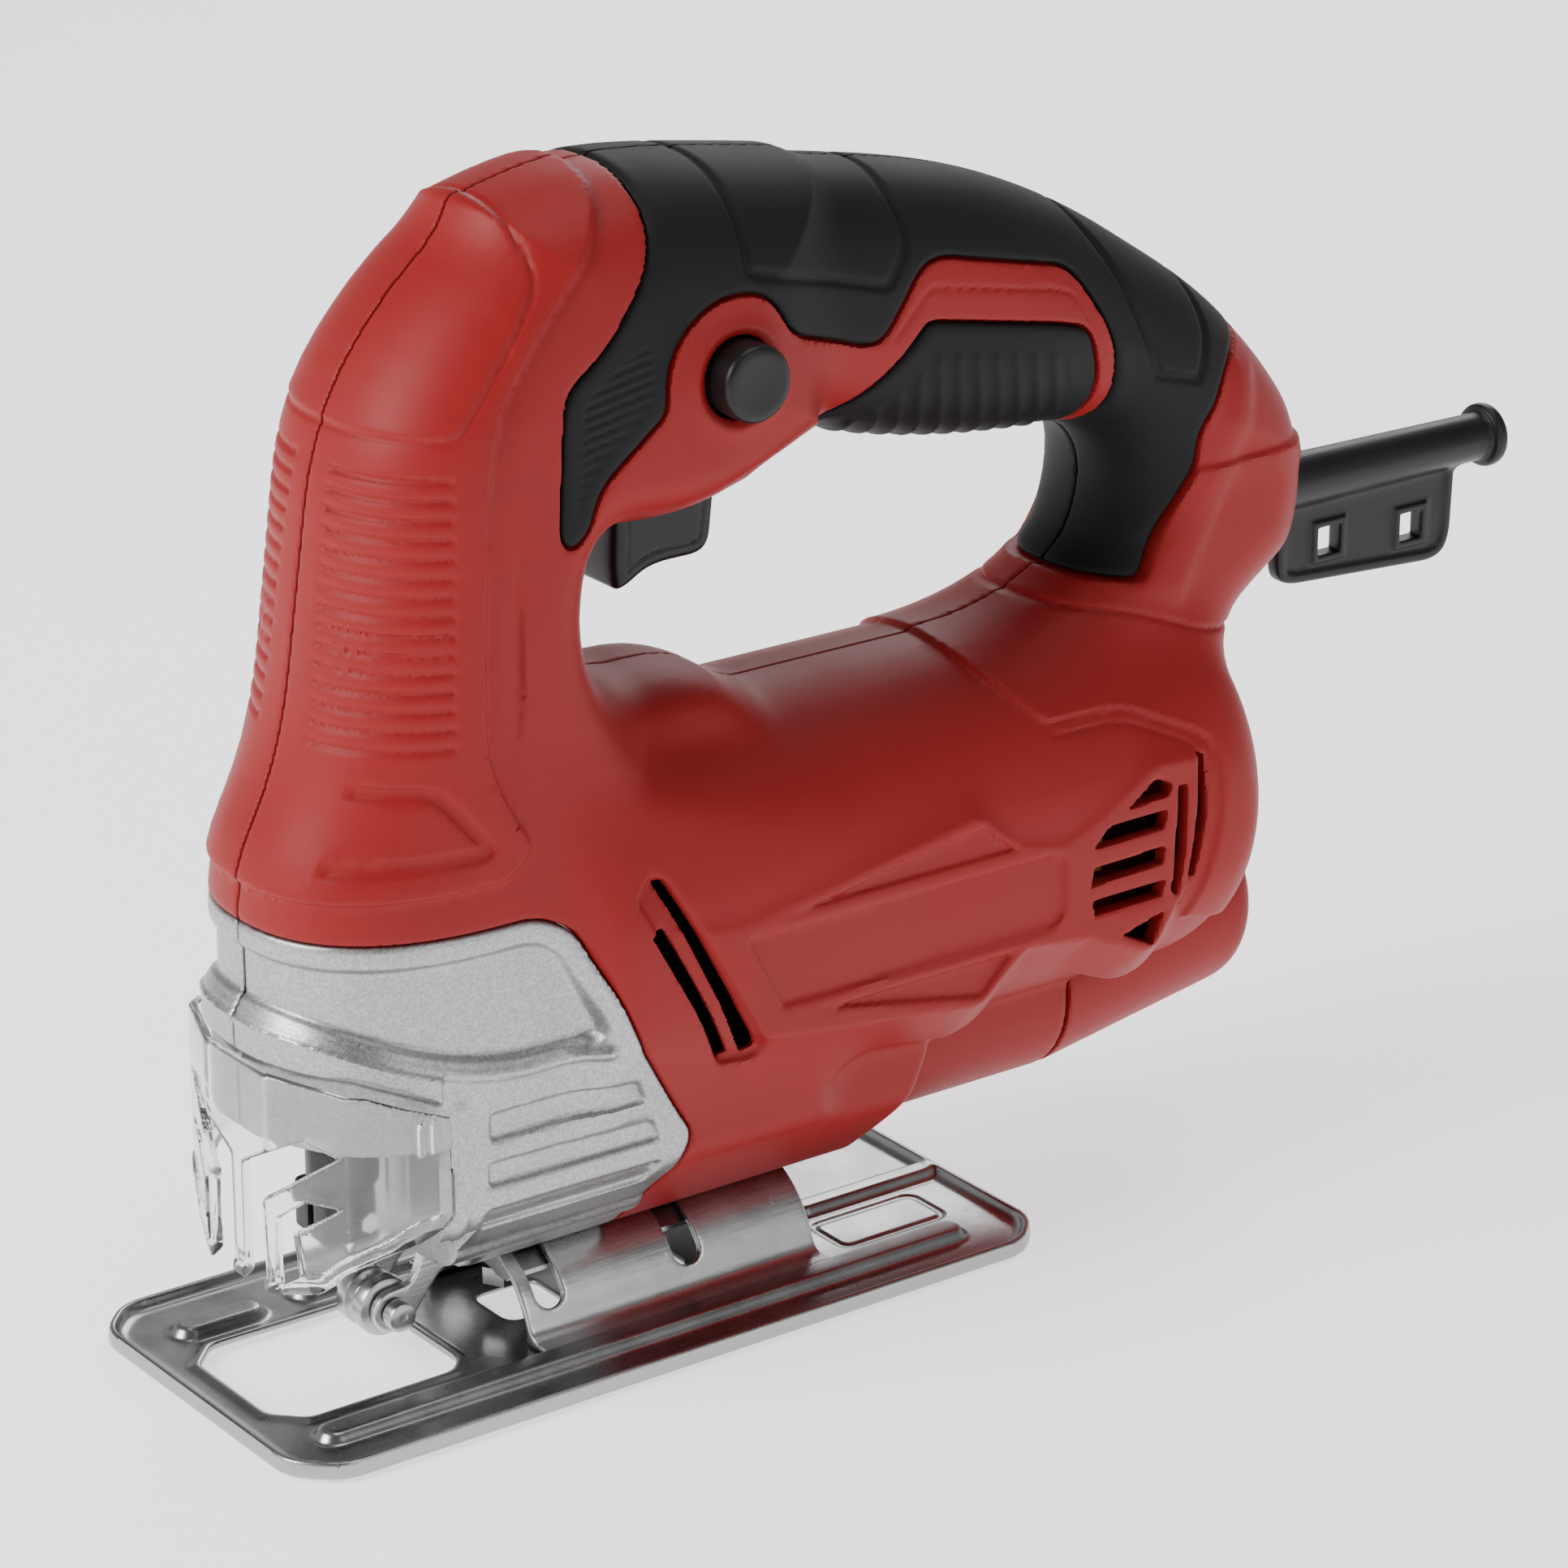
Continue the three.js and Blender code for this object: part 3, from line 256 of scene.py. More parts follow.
SOFT = [(3.4, 215), (3.9, 195, 4), (1.6, 186, 8), (-9, 173, 5), (-16.4, 168, 4), (-17.9, 144.5, 3),
        (-15.6, 142.2, 2), (-12, 144.6, 2), (-10, 151.4, 4), (3.0, 161.4, 2), (3.6, 171, 7), (12, 178.4, 8),
        (23, 178, 8), (28.4, 169.4, 4), (47.5, 163.2, 4), (50.6, 165, 3), (57.2, 174.6, 3), (61.8, 176, 3),
        (90, 169.6, 4), (98.4, 157, 6), (101.2, 143, 4), (97, 134, 4), (88, 128), (88, 116), (98, 111.2, 2),
        (108.2, 110.3, 2), (117.8, 129.6, 2), (118.2, 136.2, 2), (124, 146.8, 4), (150, 160), (150, 215)]
GRIP = [(58.9, 166, 2), (86.4, 160.9, 2), (93, 159.2, 3), (97.4, 147, 5), (97, 130, 5), (50, 130, 4),
        (30, 147.5, 4), (44, 150.6, 6)]
CHEVRON = [(51.9, 164), (59, 171.6, 2), (86.4, 166.6, 2), (90.2, 165, 2), (96.6, 153.6)]
SILVER = [(-90, SILVER_TOP), (-25, SILVER_TOP - 0.6, 3), (-18.2, 80, 3), (-8.2, 57.3), (4.4, 38.4, 2),
          (0.8, 28.6, 2), (-0.6, 8), (-90, 8)]
SILVER_PANEL = [(-90, 80.4), (-25.5, 80.2, 3), (-20.4, 77.2, 3), (-13.4, 62.2, 3), (-16, 60.2, 2),
                (-30, 60.0, 8), (-43, 62.6, 8), (-57, 68, 6), (-64, 70.4, 3), (-90, 70.4)]
SILVER_BEAD = [(-90, 68.6), (-64, 68.6, 3), (-57.2, 66.2, 6), (-43.1, 60.8, 8), (-30, 58.2, 8),
               (-14.6, 58.9)]
SILVER_BARS = [[(-35.6, 52.6, 1.5), (-8.4, 52.6, 1.5), (-5.4, 47, 1.5), (-35.6, 46.9, 1.5)],
               [(-36, 44, 1.5), (-3.8, 43.6, 1.5), (-1.4, 38.6, 1.5), (-36, 38.9, 1.5)],
               [(-36.4, 35.6, 1.5), (-1.2, 35.2, 1.5), (-3, 30.4, 1.5), (-36.4, 30.7, 1.5)]]
TOP_PANEL = [(19, 215), (19, 192, 3), (18, 180.6, 2.5), (51, 171.6, 2), (57, 179.6, 3), (56.4, 187, 3),
             (56.6, 215)]
REAR_PANEL = [(95.7, 190), (95.7, 175, 2), (100.6, 164.8, 3), (107.8, 146.8, 1.5), (117.4, 144.6, 1.5),
              (121.5, 153, 3), (124, 175)]
PAD = [(-9.4, 170.4, 4), (-14.4, 166.6, 3), (-15.9, 146.2, 2), (-13, 146.2, 3), (-11.4, 152.6, 4),
       (1.2, 162.6, 3), (2, 171, 4), (0, 175.5, 4)]


def relief(across, y, z):
    """How far the moulded side details stand above the plain form, the same on both halves."""
    height = 1.1 * rise(area(outline(SHIELD), y, z), 1.2)
    height = height + 0.25 * rise(area(outline(VISOR), y, z), 1.3)
    height = height - 0.35 * rise(np.abs(area(outline(VISOR), y, z)) - 0.7, 0.7)
    height = height + 0.9 * rise(area(outline(COLLAR), y, z), 1.0)
    height = height - 0.4 * rise(line_distance(outline(COLLAR_LINE, closed=False), y, z) - 0.6, 0.6)
    height = height - 0.5 * rise(line_distance(outline(LEG_LINE, closed=False), y, z) - 0.8, 0.8)
    height = height + 0.6 * rise(area(outline(LEG_FACET), y, z), 4.0)
    for corners in PANELS:
        height = height - 0.6 * rise(area(outline(corners), y, z), 0.6)
    height = height - 1.3 * rise(area(outline(VENT_POCKET), y, z), 1.5)
    boss = np.hypot(y - LOCK_Y, z - LOCK_Z)
    height = height + 1.1 * rise(boss - 11.2, 4.5) * (1 - rise(boss - LOCK_RADIUS - 2.2, 1.4))
    height = height - 0.4 * rise(line_distance(outline(CHEVRON, closed=False), y, z) - 0.55, 0.5)
    return height + front_relief(across, y, z)


def front_relief(across, y, z):
    """Finger ribs and the hooked recess below them, which stop short of the parting line."""
    row = np.clip(np.round((RIB_TOP - z) / RIB_PITCH), 0, RIB_COUNT - 1)
    rib = np.abs(z - RIB_TOP + row * RIB_PITCH) - 0.75
    rib = np.maximum(rib, y + 36.1 + 0.04 * (157 - z))
    ribs = 0.55 * rise(rib, 0.6) * rise(4.4 + 0.06 * (157 - z) - across, 0.8)
    hook = line_distance(outline(HOOK, closed=False), y, z) - 1.45
    return -ribs - 0.65 * rise(hook, 0.7) * rise(15.6 - across, 1.0)


GUARD_TOP = [(-66, 60.7), (-57, 60.0), (-50, 57.4), (-43, 54.4)]       # upper edge of the clear guard


def silver_relief(y, z):
    """Recessed panel, beads and bars of the painted gearcase cover."""
    height = -1.3 * rise(area(outline(SILVER_PANEL), y, z), 1.6)
    bead = line_distance(outline(SILVER_BEAD, closed=False), y, z)
    height = height + 0.9 * rise(bead - 1.9, 1.9)
    below = area(outline(SILVER_BEAD + [(-14, 20), (-90, 20)]), y, z)
    ledge = np.maximum(below, along(y, *GUARD_TOP) + 0.7 - z)
    height = height + 1.5 * rise(np.maximum(ledge, y + 43.4), 1.2)
    for corners in SILVER_BARS:
        height = height - 1.0 * rise(area(outline(corners), y, z), 0.9)
    corner = np.maximum(np.abs(y + 40.6) - 1.9, np.maximum(z - 56, 24 - z))
    height = height + 0.5 * rise(corner, 1.7)
    return height + 1.0 * rise(np.maximum(np.abs(z - 22.6) - 3.2, -43 - y), 2.8)


def soft_relief(across, y, z):
    """Panels, lines and fine ribs of the soft overmould."""
    height = -0.6 * rise(np.abs(area(outline(TOP_PANEL), y, z) + 1.2) - 1.1, 0.7)
    height = height - 0.6 * rise(np.abs(area(outline(REAR_PANEL), y, z) + 1.2) - 1.1, 0.7)
    slant = (z - 0.18 * y) * 0.984
    fine = 0.5 + 0.5 * np.cos(2 * math.pi * slant / 1.7)
    return height - 0.35 * fine * rise(area(outline(PAD), y, z) + 0.8, 1.2)


def grip_relief(y, z):
    """Curved ribs of the lower grip pad."""
    bent = y - 0.012 * (z - 168) ** 2
    ribs = 0.5 + 0.5 * np.cos(2 * math.pi * (bent - 52) / 3.9)
    inside = np.maximum(area(outline(GRIP), y, z) + 4.5, z - 160.5 + 0.11 * (y - 60))
    return 0.55 * ribs ** 2 * rise(inside, 2.0)


# ---------------------------------------------------------------- grids and meshes
def grid(low, high, step):
    """Three open axes of sample points between two corners."""
    step = step * 1
    axes = [np.arange(a, b + step, step, dtype=np.float32) for a, b in zip(low, high)]
    return axes[0][:, None, None], axes[1][None, :, None], axes[2][None, None, :]


def surface(field, axes):
    """Points and faces of the zero surface of a field, cropped to where it is."""
    flat = [axis.ravel() for axis in axes]
    near = field < 2.0
    crop = []
    for axis in range(3):
        used = np.flatnonzero(near.any(tuple(other for other in range(3) if other != axis)))
        crop.append(slice(max(used[0] - 2, 0), used[-1] + 3))
    part = np.full([field[tuple(crop)].shape[i] + 2 for i in range(3)], 3.0, np.float32)
    part[1:-1, 1:-1, 1:-1] = np.clip(field[tuple(crop)], -3, 3)
    volume = openvdb.FloatGrid(3.0)
    volume.copyFromArray(part)
    points, triangles, quads = volume.convertToPolygons(isovalue=0.0, adaptivity=ADAPTIVITY)
    low = np.array([flat[i][crop[i].start] for i in range(3)])
    step = flat[0][1] - flat[0][0]
    points = low + (points - 1) * step
    return points, [triangles.reshape(-1, 3).astype(int), quads.reshape(-1, 4).astype(int)]


def piece(name, points, faces, look, body, mirrored=False, sharp=38):
    """A finished mesh in metres, riding on its body and standing for the frame node of its name.
    faces is a list of index tables, one table for each number of corners. look names the material
    that goes in the mesh's one slot."""
    points = np.array(points, float)
    if mirrored:
        points[:, 0] *= -1
    volume = 0.0
    for table in faces:
        for corner in range(1, table.shape[1] - 1):
            a, b, c = (points[table[:, i]] for i in (0, corner, corner + 1))
            volume += np.einsum("ij,ij->", a, np.cross(b, c))
    if volume < 0:
        faces = [table[:, ::-1] for table in faces]
    mesh = bpy.data.meshes.new(name)
    mesh.vertices.add(len(points))
    mesh.vertices.foreach_set("co", (points * MM).astype(np.float32).ravel())
    sizes = np.concatenate([np.full(len(table), table.shape[1], np.int32) for table in faces])
    corners = np.concatenate([table.ravel() for table in faces]).astype(np.int32)
    mesh.loops.add(len(corners))
    mesh.loops.foreach_set("vertex_index", corners)
    mesh.polygons.add(len(sizes))
    mesh.polygons.foreach_set("loop_start", (np.cumsum(sizes) - sizes).astype(np.int32))
    mesh.update(calc_edges=True)
    mesh.validate()
    mesh.shade_smooth()
    mesh.set_sharp_from_angle(angle=math.radians(sharp))
    mesh.materials.append(MATERIALS[look])
    made = bpy.data.objects.new(name, mesh)
    bpy.context.scene.collection.objects.link(made)
    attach(made, body)
    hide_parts(name)
    return made


def moulded(name, field, axes, look, body, mirrored=False, sharp=38):
    """A piece meshed from its field."""
    points, faces = surface(field, axes)
    return piece(name, points, faces, look, body, mirrored, sharp)


def turned(name, profile, axis, at, look, body, sides=64, sharp=30):
    """A piece spun from a closed (radius, distance) profile about an axis through a point."""
    rings, faces = [], []
    count = len(profile)
    turns = np.linspace(0, 2 * math.pi, sides, endpoint=False)
    for turn in turns:
        for radius, distance in profile:
            a, b = radius * math.cos(turn), radius * math.sin(turn)
            rings.append({"x": (distance, a, b), "y": (a, distance, b), "z": (a, b, distance)}[axis])
    for i in range(sides):
        for j in range(count):
            k = (j + 1) % count
            first, second = i * count, (i + 1) % sides * count
            faces.append((first + j, first + k, second + k, second + j))
    points = np.array(rings) + np.array(at)
    mesh = bmesh.new()
    corners = [mesh.verts.new(point) for point in points]
    for face in faces:
        mesh.faces.new([corners[i] for i in face])
    bmesh.ops.remove_doubles(mesh, verts=mesh.verts, dist=1e-4)
    bmesh.ops.dissolve_degenerate(mesh, edges=mesh.edges, dist=1e-4)
    mesh.verts.index_update()
    points = np.array([vertex.co for vertex in mesh.verts])
    faces = [[vertex.index for vertex in face.verts] for face in mesh.faces]
    mesh.free()
    tables = []
    for size in (3, 4):
        same = [face for face in faces if len(face) == size]
        tables.append(np.array(same, int).reshape(-1, size))
    return piece(name, points, tables, look, body, sharp=sharp)


# ---------------------------------------------------------------- node helpers
class Nodes:
    """Adds and links nodes in a material or a node group."""

    def __init__(self, tree):
        self.tree = tree

    def add(self, kind, **values):
        node = self.tree.nodes.new(kind)
        for key, value in values.items():
            setattr(node, key, value)
        return node

    def link(self, source, target):
        self.tree.links.new(source, target)

    def noise(self, vector, scale, detail=2.0, rough=0.5):
        node = self.add("ShaderNodeTexNoise")
        node.inputs["Scale"].default_value = scale
        node.inputs["Detail"].default_value = detail
        node.inputs["Roughness"].default_value = rough
        self.link(vector, node.inputs["Vector"])
        return node.outputs["Fac"]

    def math(self, operation, a, b=None, clamp=False):
        node = self.add("ShaderNodeMath", operation=operation, use_clamp=clamp)
        for socket, value in zip(node.inputs, (a, b)):
            if value is None:
                continue
            if isinstance(value, (int, float)):
                socket.default_value = value
            else:
                self.link(value, socket)
        return node.outputs[0]

    def spread(self, value, low, high, to_low, to_high):
        node = self.add("ShaderNodeMapRange")
        self.link(value, node.inputs["Value"])
        for name, number in zip(("From Min", "From Max", "To Min", "To Max"), (low, high, to_low, to_high)):
            if isinstance(number, (int, float)):
                node.inputs[name].default_value = number
            else:
                self.link(number, node.inputs[name])
        return node.outputs["Result"]


def group(name, inputs, outputs):
    """An empty shader node group: (kind, name, default) inputs and (kind, name) outputs."""
    tree = bpy.data.node_groups.new(name, "ShaderNodeTree")
    for kind, label, value in inputs:
        socket = tree.interface.new_socket(name=label, in_out="INPUT", socket_type=kind)
        socket.default_value = value
    for kind, label in outputs:
        tree.interface.new_socket(name=label, in_out="OUTPUT", socket_type=kind)
    nodes = Nodes(tree)
    start = nodes.add("NodeGroupInput")
    end = nodes.add("NodeGroupOutput")
    place = nodes.add("ShaderNodeTexCoord").outputs["Object"]
    return nodes, start.outputs, end.inputs, place


FLOAT, COLOUR = "NodeSocketFloat", "NodeSocketColor"


def moulded_grain_group():
    """Fine spark-eroded texture of a moulding, with slow changes of tone."""
    nodes, given, out, place = group(
        "moulded_grain",
        [(FLOAT, "Grain Scale", 2600.0), (FLOAT, "Tone", 0.06), (COLOUR, "Colour", (0.3, 0.3, 0.3, 1)),
         (FLOAT, "Roughness", 0.5)],
        [(COLOUR, "Colour"), (FLOAT, "Roughness"), (FLOAT, "Height")])
    fine = nodes.add("ShaderNodeTexNoise")
    nodes.link(place, fine.inputs["Vector"])
    nodes.link(given["Grain Scale"], fine.inputs["Scale"])
    fine.inputs["Detail"].default_value = 3.0
    fine.inputs["Roughness"].default_value = 0.65
    slow = nodes.noise(place, 38.0, 3.0)
    dust = nodes.spread(nodes.noise(place, 900.0, 2.0), 0.70, 0.80, 0.0, 1.0)
    tone = nodes.math("MULTIPLY", nodes.math("SUBTRACT", slow, 0.5), given["Tone"])
    speck = nodes.math("MULTIPLY", nodes.math("SUBTRACT", fine.outputs["Fac"], 0.5), given["Tone"])
    shift = nodes.math("ADD", nodes.math("ADD", nodes.math("MULTIPLY", tone, 2.0), 1.0), speck)
    mix = nodes.add("ShaderNodeVectorMath", operation="SCALE")
    nodes.link(given["Colour"], mix.inputs[0])
    nodes.link(shift, mix.inputs["Scale"])
    nodes.link(mix.outputs[0], out["Colour"])
    uneven = nodes.math("MULTIPLY", nodes.math("SUBTRACT", slow, 0.5), 0.18)
    rough = nodes.math("ADD", given["Roughness"], uneven)
    nodes.link(nodes.math("ADD", rough, nodes.math("MULTIPLY", dust, 0.12)), out["Roughness"])
    nodes.link(fine.outputs["Fac"], out["Height"])
    return nodes.tree


def metal_flake_group():
    """Small bright flakes in sprayed silver paint."""
    nodes, given, out, place = group(
        "metal_flake",
        [(FLOAT, "Flake Scale", 3000.0), (COLOUR, "Dark", (0.3, 0.3, 0.3, 1)),
         (COLOUR, "Bright", (0.8, 0.8, 0.8, 1))],
        [(COLOUR, "Colour"), (FLOAT, "Roughness"), (FLOAT, "Height")])
    cells = nodes.add("ShaderNodeTexVoronoi", feature="F1")
    nodes.link(place, cells.inputs["Vector"])
    nodes.link(given["Flake Scale"], cells.inputs["Scale"])
    split = nodes.add("ShaderNodeSeparateColor")
    nodes.link(cells.outputs["Color"], split.inputs[0])
    mix = nodes.add("ShaderNodeMix", data_type="RGBA")
    nodes.link(nodes.spread(split.outputs[0], 0.15, 1.0, 0.0, 1.0), mix.inputs["Factor"])
    nodes.link(given["Dark"], mix.inputs[6])
    nodes.link(given["Bright"], mix.inputs[7])
    nodes.link(mix.outputs[2], out["Colour"])
    nodes.link(nodes.spread(split.outputs[1], 0.0, 1.0, 0.36, 0.48), out["Roughness"])
    fine = nodes.noise(place, 2400.0, 2.0)
    nodes.link(nodes.math("ADD", fine, nodes.math("MULTIPLY", split.outputs[2], 0.4)), out["Height"])
    return nodes.tree


def drawn_metal_group():
    """Draw lines, pits and handling marks on pressed or turned metal."""
    nodes, given, out, place = group(
        "drawn_metal",
        [(FLOAT, "Line Scale", 900.0), (FLOAT, "Roughness", 0.25), (COLOUR, "Colour", (0.6, 0.6, 0.6, 1)),
         (FLOAT, "Marks", 0.5)],
        [(COLOUR, "Colour"), (FLOAT, "Roughness"), (FLOAT, "Height")])
    stretch = nodes.add("ShaderNodeMapping")
    stretch.inputs["Scale"].default_value = (1.0, 0.06, 1.0)
    nodes.link(place, stretch.inputs["Vector"])
    lines = nodes.add("ShaderNodeTexNoise")
    nodes.link(stretch.outputs[0], lines.inputs["Vector"])
    nodes.link(given["Line Scale"], lines.inputs["Scale"])
    lines.inputs["Detail"].default_value = 3.0
    cloud = nodes.noise(place, 70.0, 4.0, 0.6)
    pits = nodes.spread(nodes.noise(place, 700.0, 2.0), 0.68, 0.78, 0.0, 1.0)
    uneven = nodes.math("MULTIPLY", nodes.math("SUBTRACT", cloud, 0.5), 0.35)
    rough = nodes.math("ADD", given["Roughness"], uneven)
    nodes.link(nodes.math("ADD", rough, nodes.math("MULTIPLY", pits, 0.15), clamp=True), out["Roughness"])
    tone = nodes.math("ADD", 0.9, nodes.math("MULTIPLY", cloud, 0.2))
    marked = nodes.math("MULTIPLY", nodes.math("MULTIPLY", pits, given["Marks"]), 0.35)
    tone = nodes.math("SUBTRACT", tone, marked)
    mix = nodes.add("ShaderNodeVectorMath", operation="SCALE")
    nodes.link(given["Colour"], mix.inputs[0])
    nodes.link(tone, mix.inputs["Scale"])
    nodes.link(mix.outputs[0], out["Colour"])
    high = nodes.math("ADD", lines.outputs["Fac"], nodes.math("MULTIPLY", cloud, 0.8))
    nodes.link(nodes.math("SUBTRACT", high, nodes.math("MULTIPLY", pits, given["Marks"])), out["Height"])
    return nodes.tree


GRAIN, FLAKE, DRAWN = moulded_grain_group(), metal_flake_group(), drawn_metal_group()


def linear(red, green, blue):
    """Linear colour of an 0-255 screen colour."""
    shares = []
    for c in (red, green, blue):
        shares.append(((c / 255 + 0.055) / 1.055) ** 2.4 if c > 10 else c / 255 / 12.92)
    return (*shares, 1)


def finish(name, effect, settings, bump, **constants):
    """A Principled material whose colour, roughness and bump come from one effect group."""
    material = bpy.data.materials.new(name)
    material.use_nodes = True
    nodes = Nodes(material.node_tree)
    shader = material.node_tree.nodes["Principled BSDF"]
    for label, value in constants.items():
        shader.inputs[label.replace("_", " ")].default_value = value
    work = nodes.add("ShaderNodeGroup", node_tree=effect)
    for label, value in settings.items():
        work.inputs[label].default_value = value
    relief_node = nodes.add("ShaderNodeBump")
    relief_node.inputs["Strength"].default_value = bump[0]
    relief_node.inputs["Distance"].default_value = bump[1]
    nodes.link(work.outputs["Colour"], shader.inputs["Base Color"])
    nodes.link(work.outputs["Roughness"], shader.inputs["Roughness"])
    nodes.link(work.outputs["Height"], relief_node.inputs["Height"])
    nodes.link(relief_node.outputs["Normal"], shader.inputs["Normal"])
    return material


def plastic(name, colour, roughness, grain, bump, tone=0.08, **constants):
    settings = {"Grain Scale": grain, "Tone": tone, "Colour": colour, "Roughness": roughness}
    return finish(name, GRAIN, settings, bump, **constants)


def metal(name, colour, roughness, lines=900.0, marks=0.5, bump=(0.25, 0.00006)):
    settings = {"Line Scale": lines, "Roughness": roughness, "Colour": colour, "Marks": marks}
    return finish(name, DRAWN, settings, bump, Metallic=1.0)


def clear_plastic():
    """Moulded polycarbonate with faint flow marks and handling scratches."""
    material = bpy.data.materials.new("clear_polycarbonate")
    material.use_nodes = True
    nodes = Nodes(material.node_tree)
    shader = material.node_tree.nodes["Principled BSDF"]
    shader.inputs["Base Color"].default_value = (0.87, 0.88, 0.88, 1)
    shader.inputs["Transmission Weight"].default_value = 1.0
    shader.inputs["IOR"].default_value = 1.55
    place = nodes.add("ShaderNodeTexCoord").outputs["Object"]
    flow = nodes.noise(place, 60.0, 3.0)
    scratch = nodes.spread(nodes.noise(place, 420.0, 4.0, 0.7), 0.66, 0.74, 0.0, 0.25)
    cloudy = nodes.spread(flow, 0.3, 0.7, 0.05, 0.2)
    nodes.link(nodes.math("ADD", cloudy, scratch), shader.inputs["Roughness"])
    relief_node = nodes.add("ShaderNodeBump")
    relief_node.inputs["Strength"].default_value = 0.15
    relief_node.inputs["Distance"].default_value = 0.0003
    nodes.link(flow, relief_node.inputs["Height"])
    nodes.link(relief_node.outputs["Normal"], shader.inputs["Normal"])
    return material


MATERIALS = {
    "red": plastic("red_housing", (0.235, 0.0085, 0.0088, 1), 0.5, 2600.0, (0.35, 0.00006),
                   Specular_IOR_Level=0.22),
    "soft": plastic("soft_overmould", linear(15, 15, 15), 0.62, 3200.0, (0.3, 0.00005), 0.2,
                    Specular_IOR_Level=0.2),
    "black": plastic("black_fittings", linear(16, 16, 16), 0.4, 2200.0, (0.25, 0.00005), 0.15,
                     Specular_IOR_Level=0.3),
    "silver": finish("silver_paint", FLAKE, {"Flake Scale": 2900.0, "Dark": linear(152, 152, 153),
                     "Bright": linear(176, 176, 177)}, (0.06, 0.00003), Metallic=1.0),
    "clear": clear_plastic(),
    "zinc": metal("zinc_plated_steel", linear(158, 158, 159), 0.27, 700.0, 0.5, (0.2, 0.00005)),
    "pressed": metal("brushed_pressing", linear(192, 192, 193), 0.26, 1500.0, 0.3, (0.5, 0.00008)),
    "steel": metal("bright_steel", linear(170, 170, 172), 0.26, 1200.0, 0.4),
    "dark": metal("blackened_steel", linear(62, 62, 64), 0.42, 900.0, 0.5),
    "copper": metal("copper_winding", linear(186, 104, 62), 0.34, 2600.0, 0.3, (0.6, 0.0002)),
    "lamination": metal("laminated_core", linear(120, 121, 124), 0.5, 3000.0, 0.6, (0.5, 0.0001)),
    "bronze": metal("sintered_bronze", linear(170, 128, 70), 0.45, 1800.0, 0.6),
    "carbon": plastic("brush_carbon", linear(38, 38, 40), 0.7, 1800.0, (0.4, 0.00008), 0.3),
}


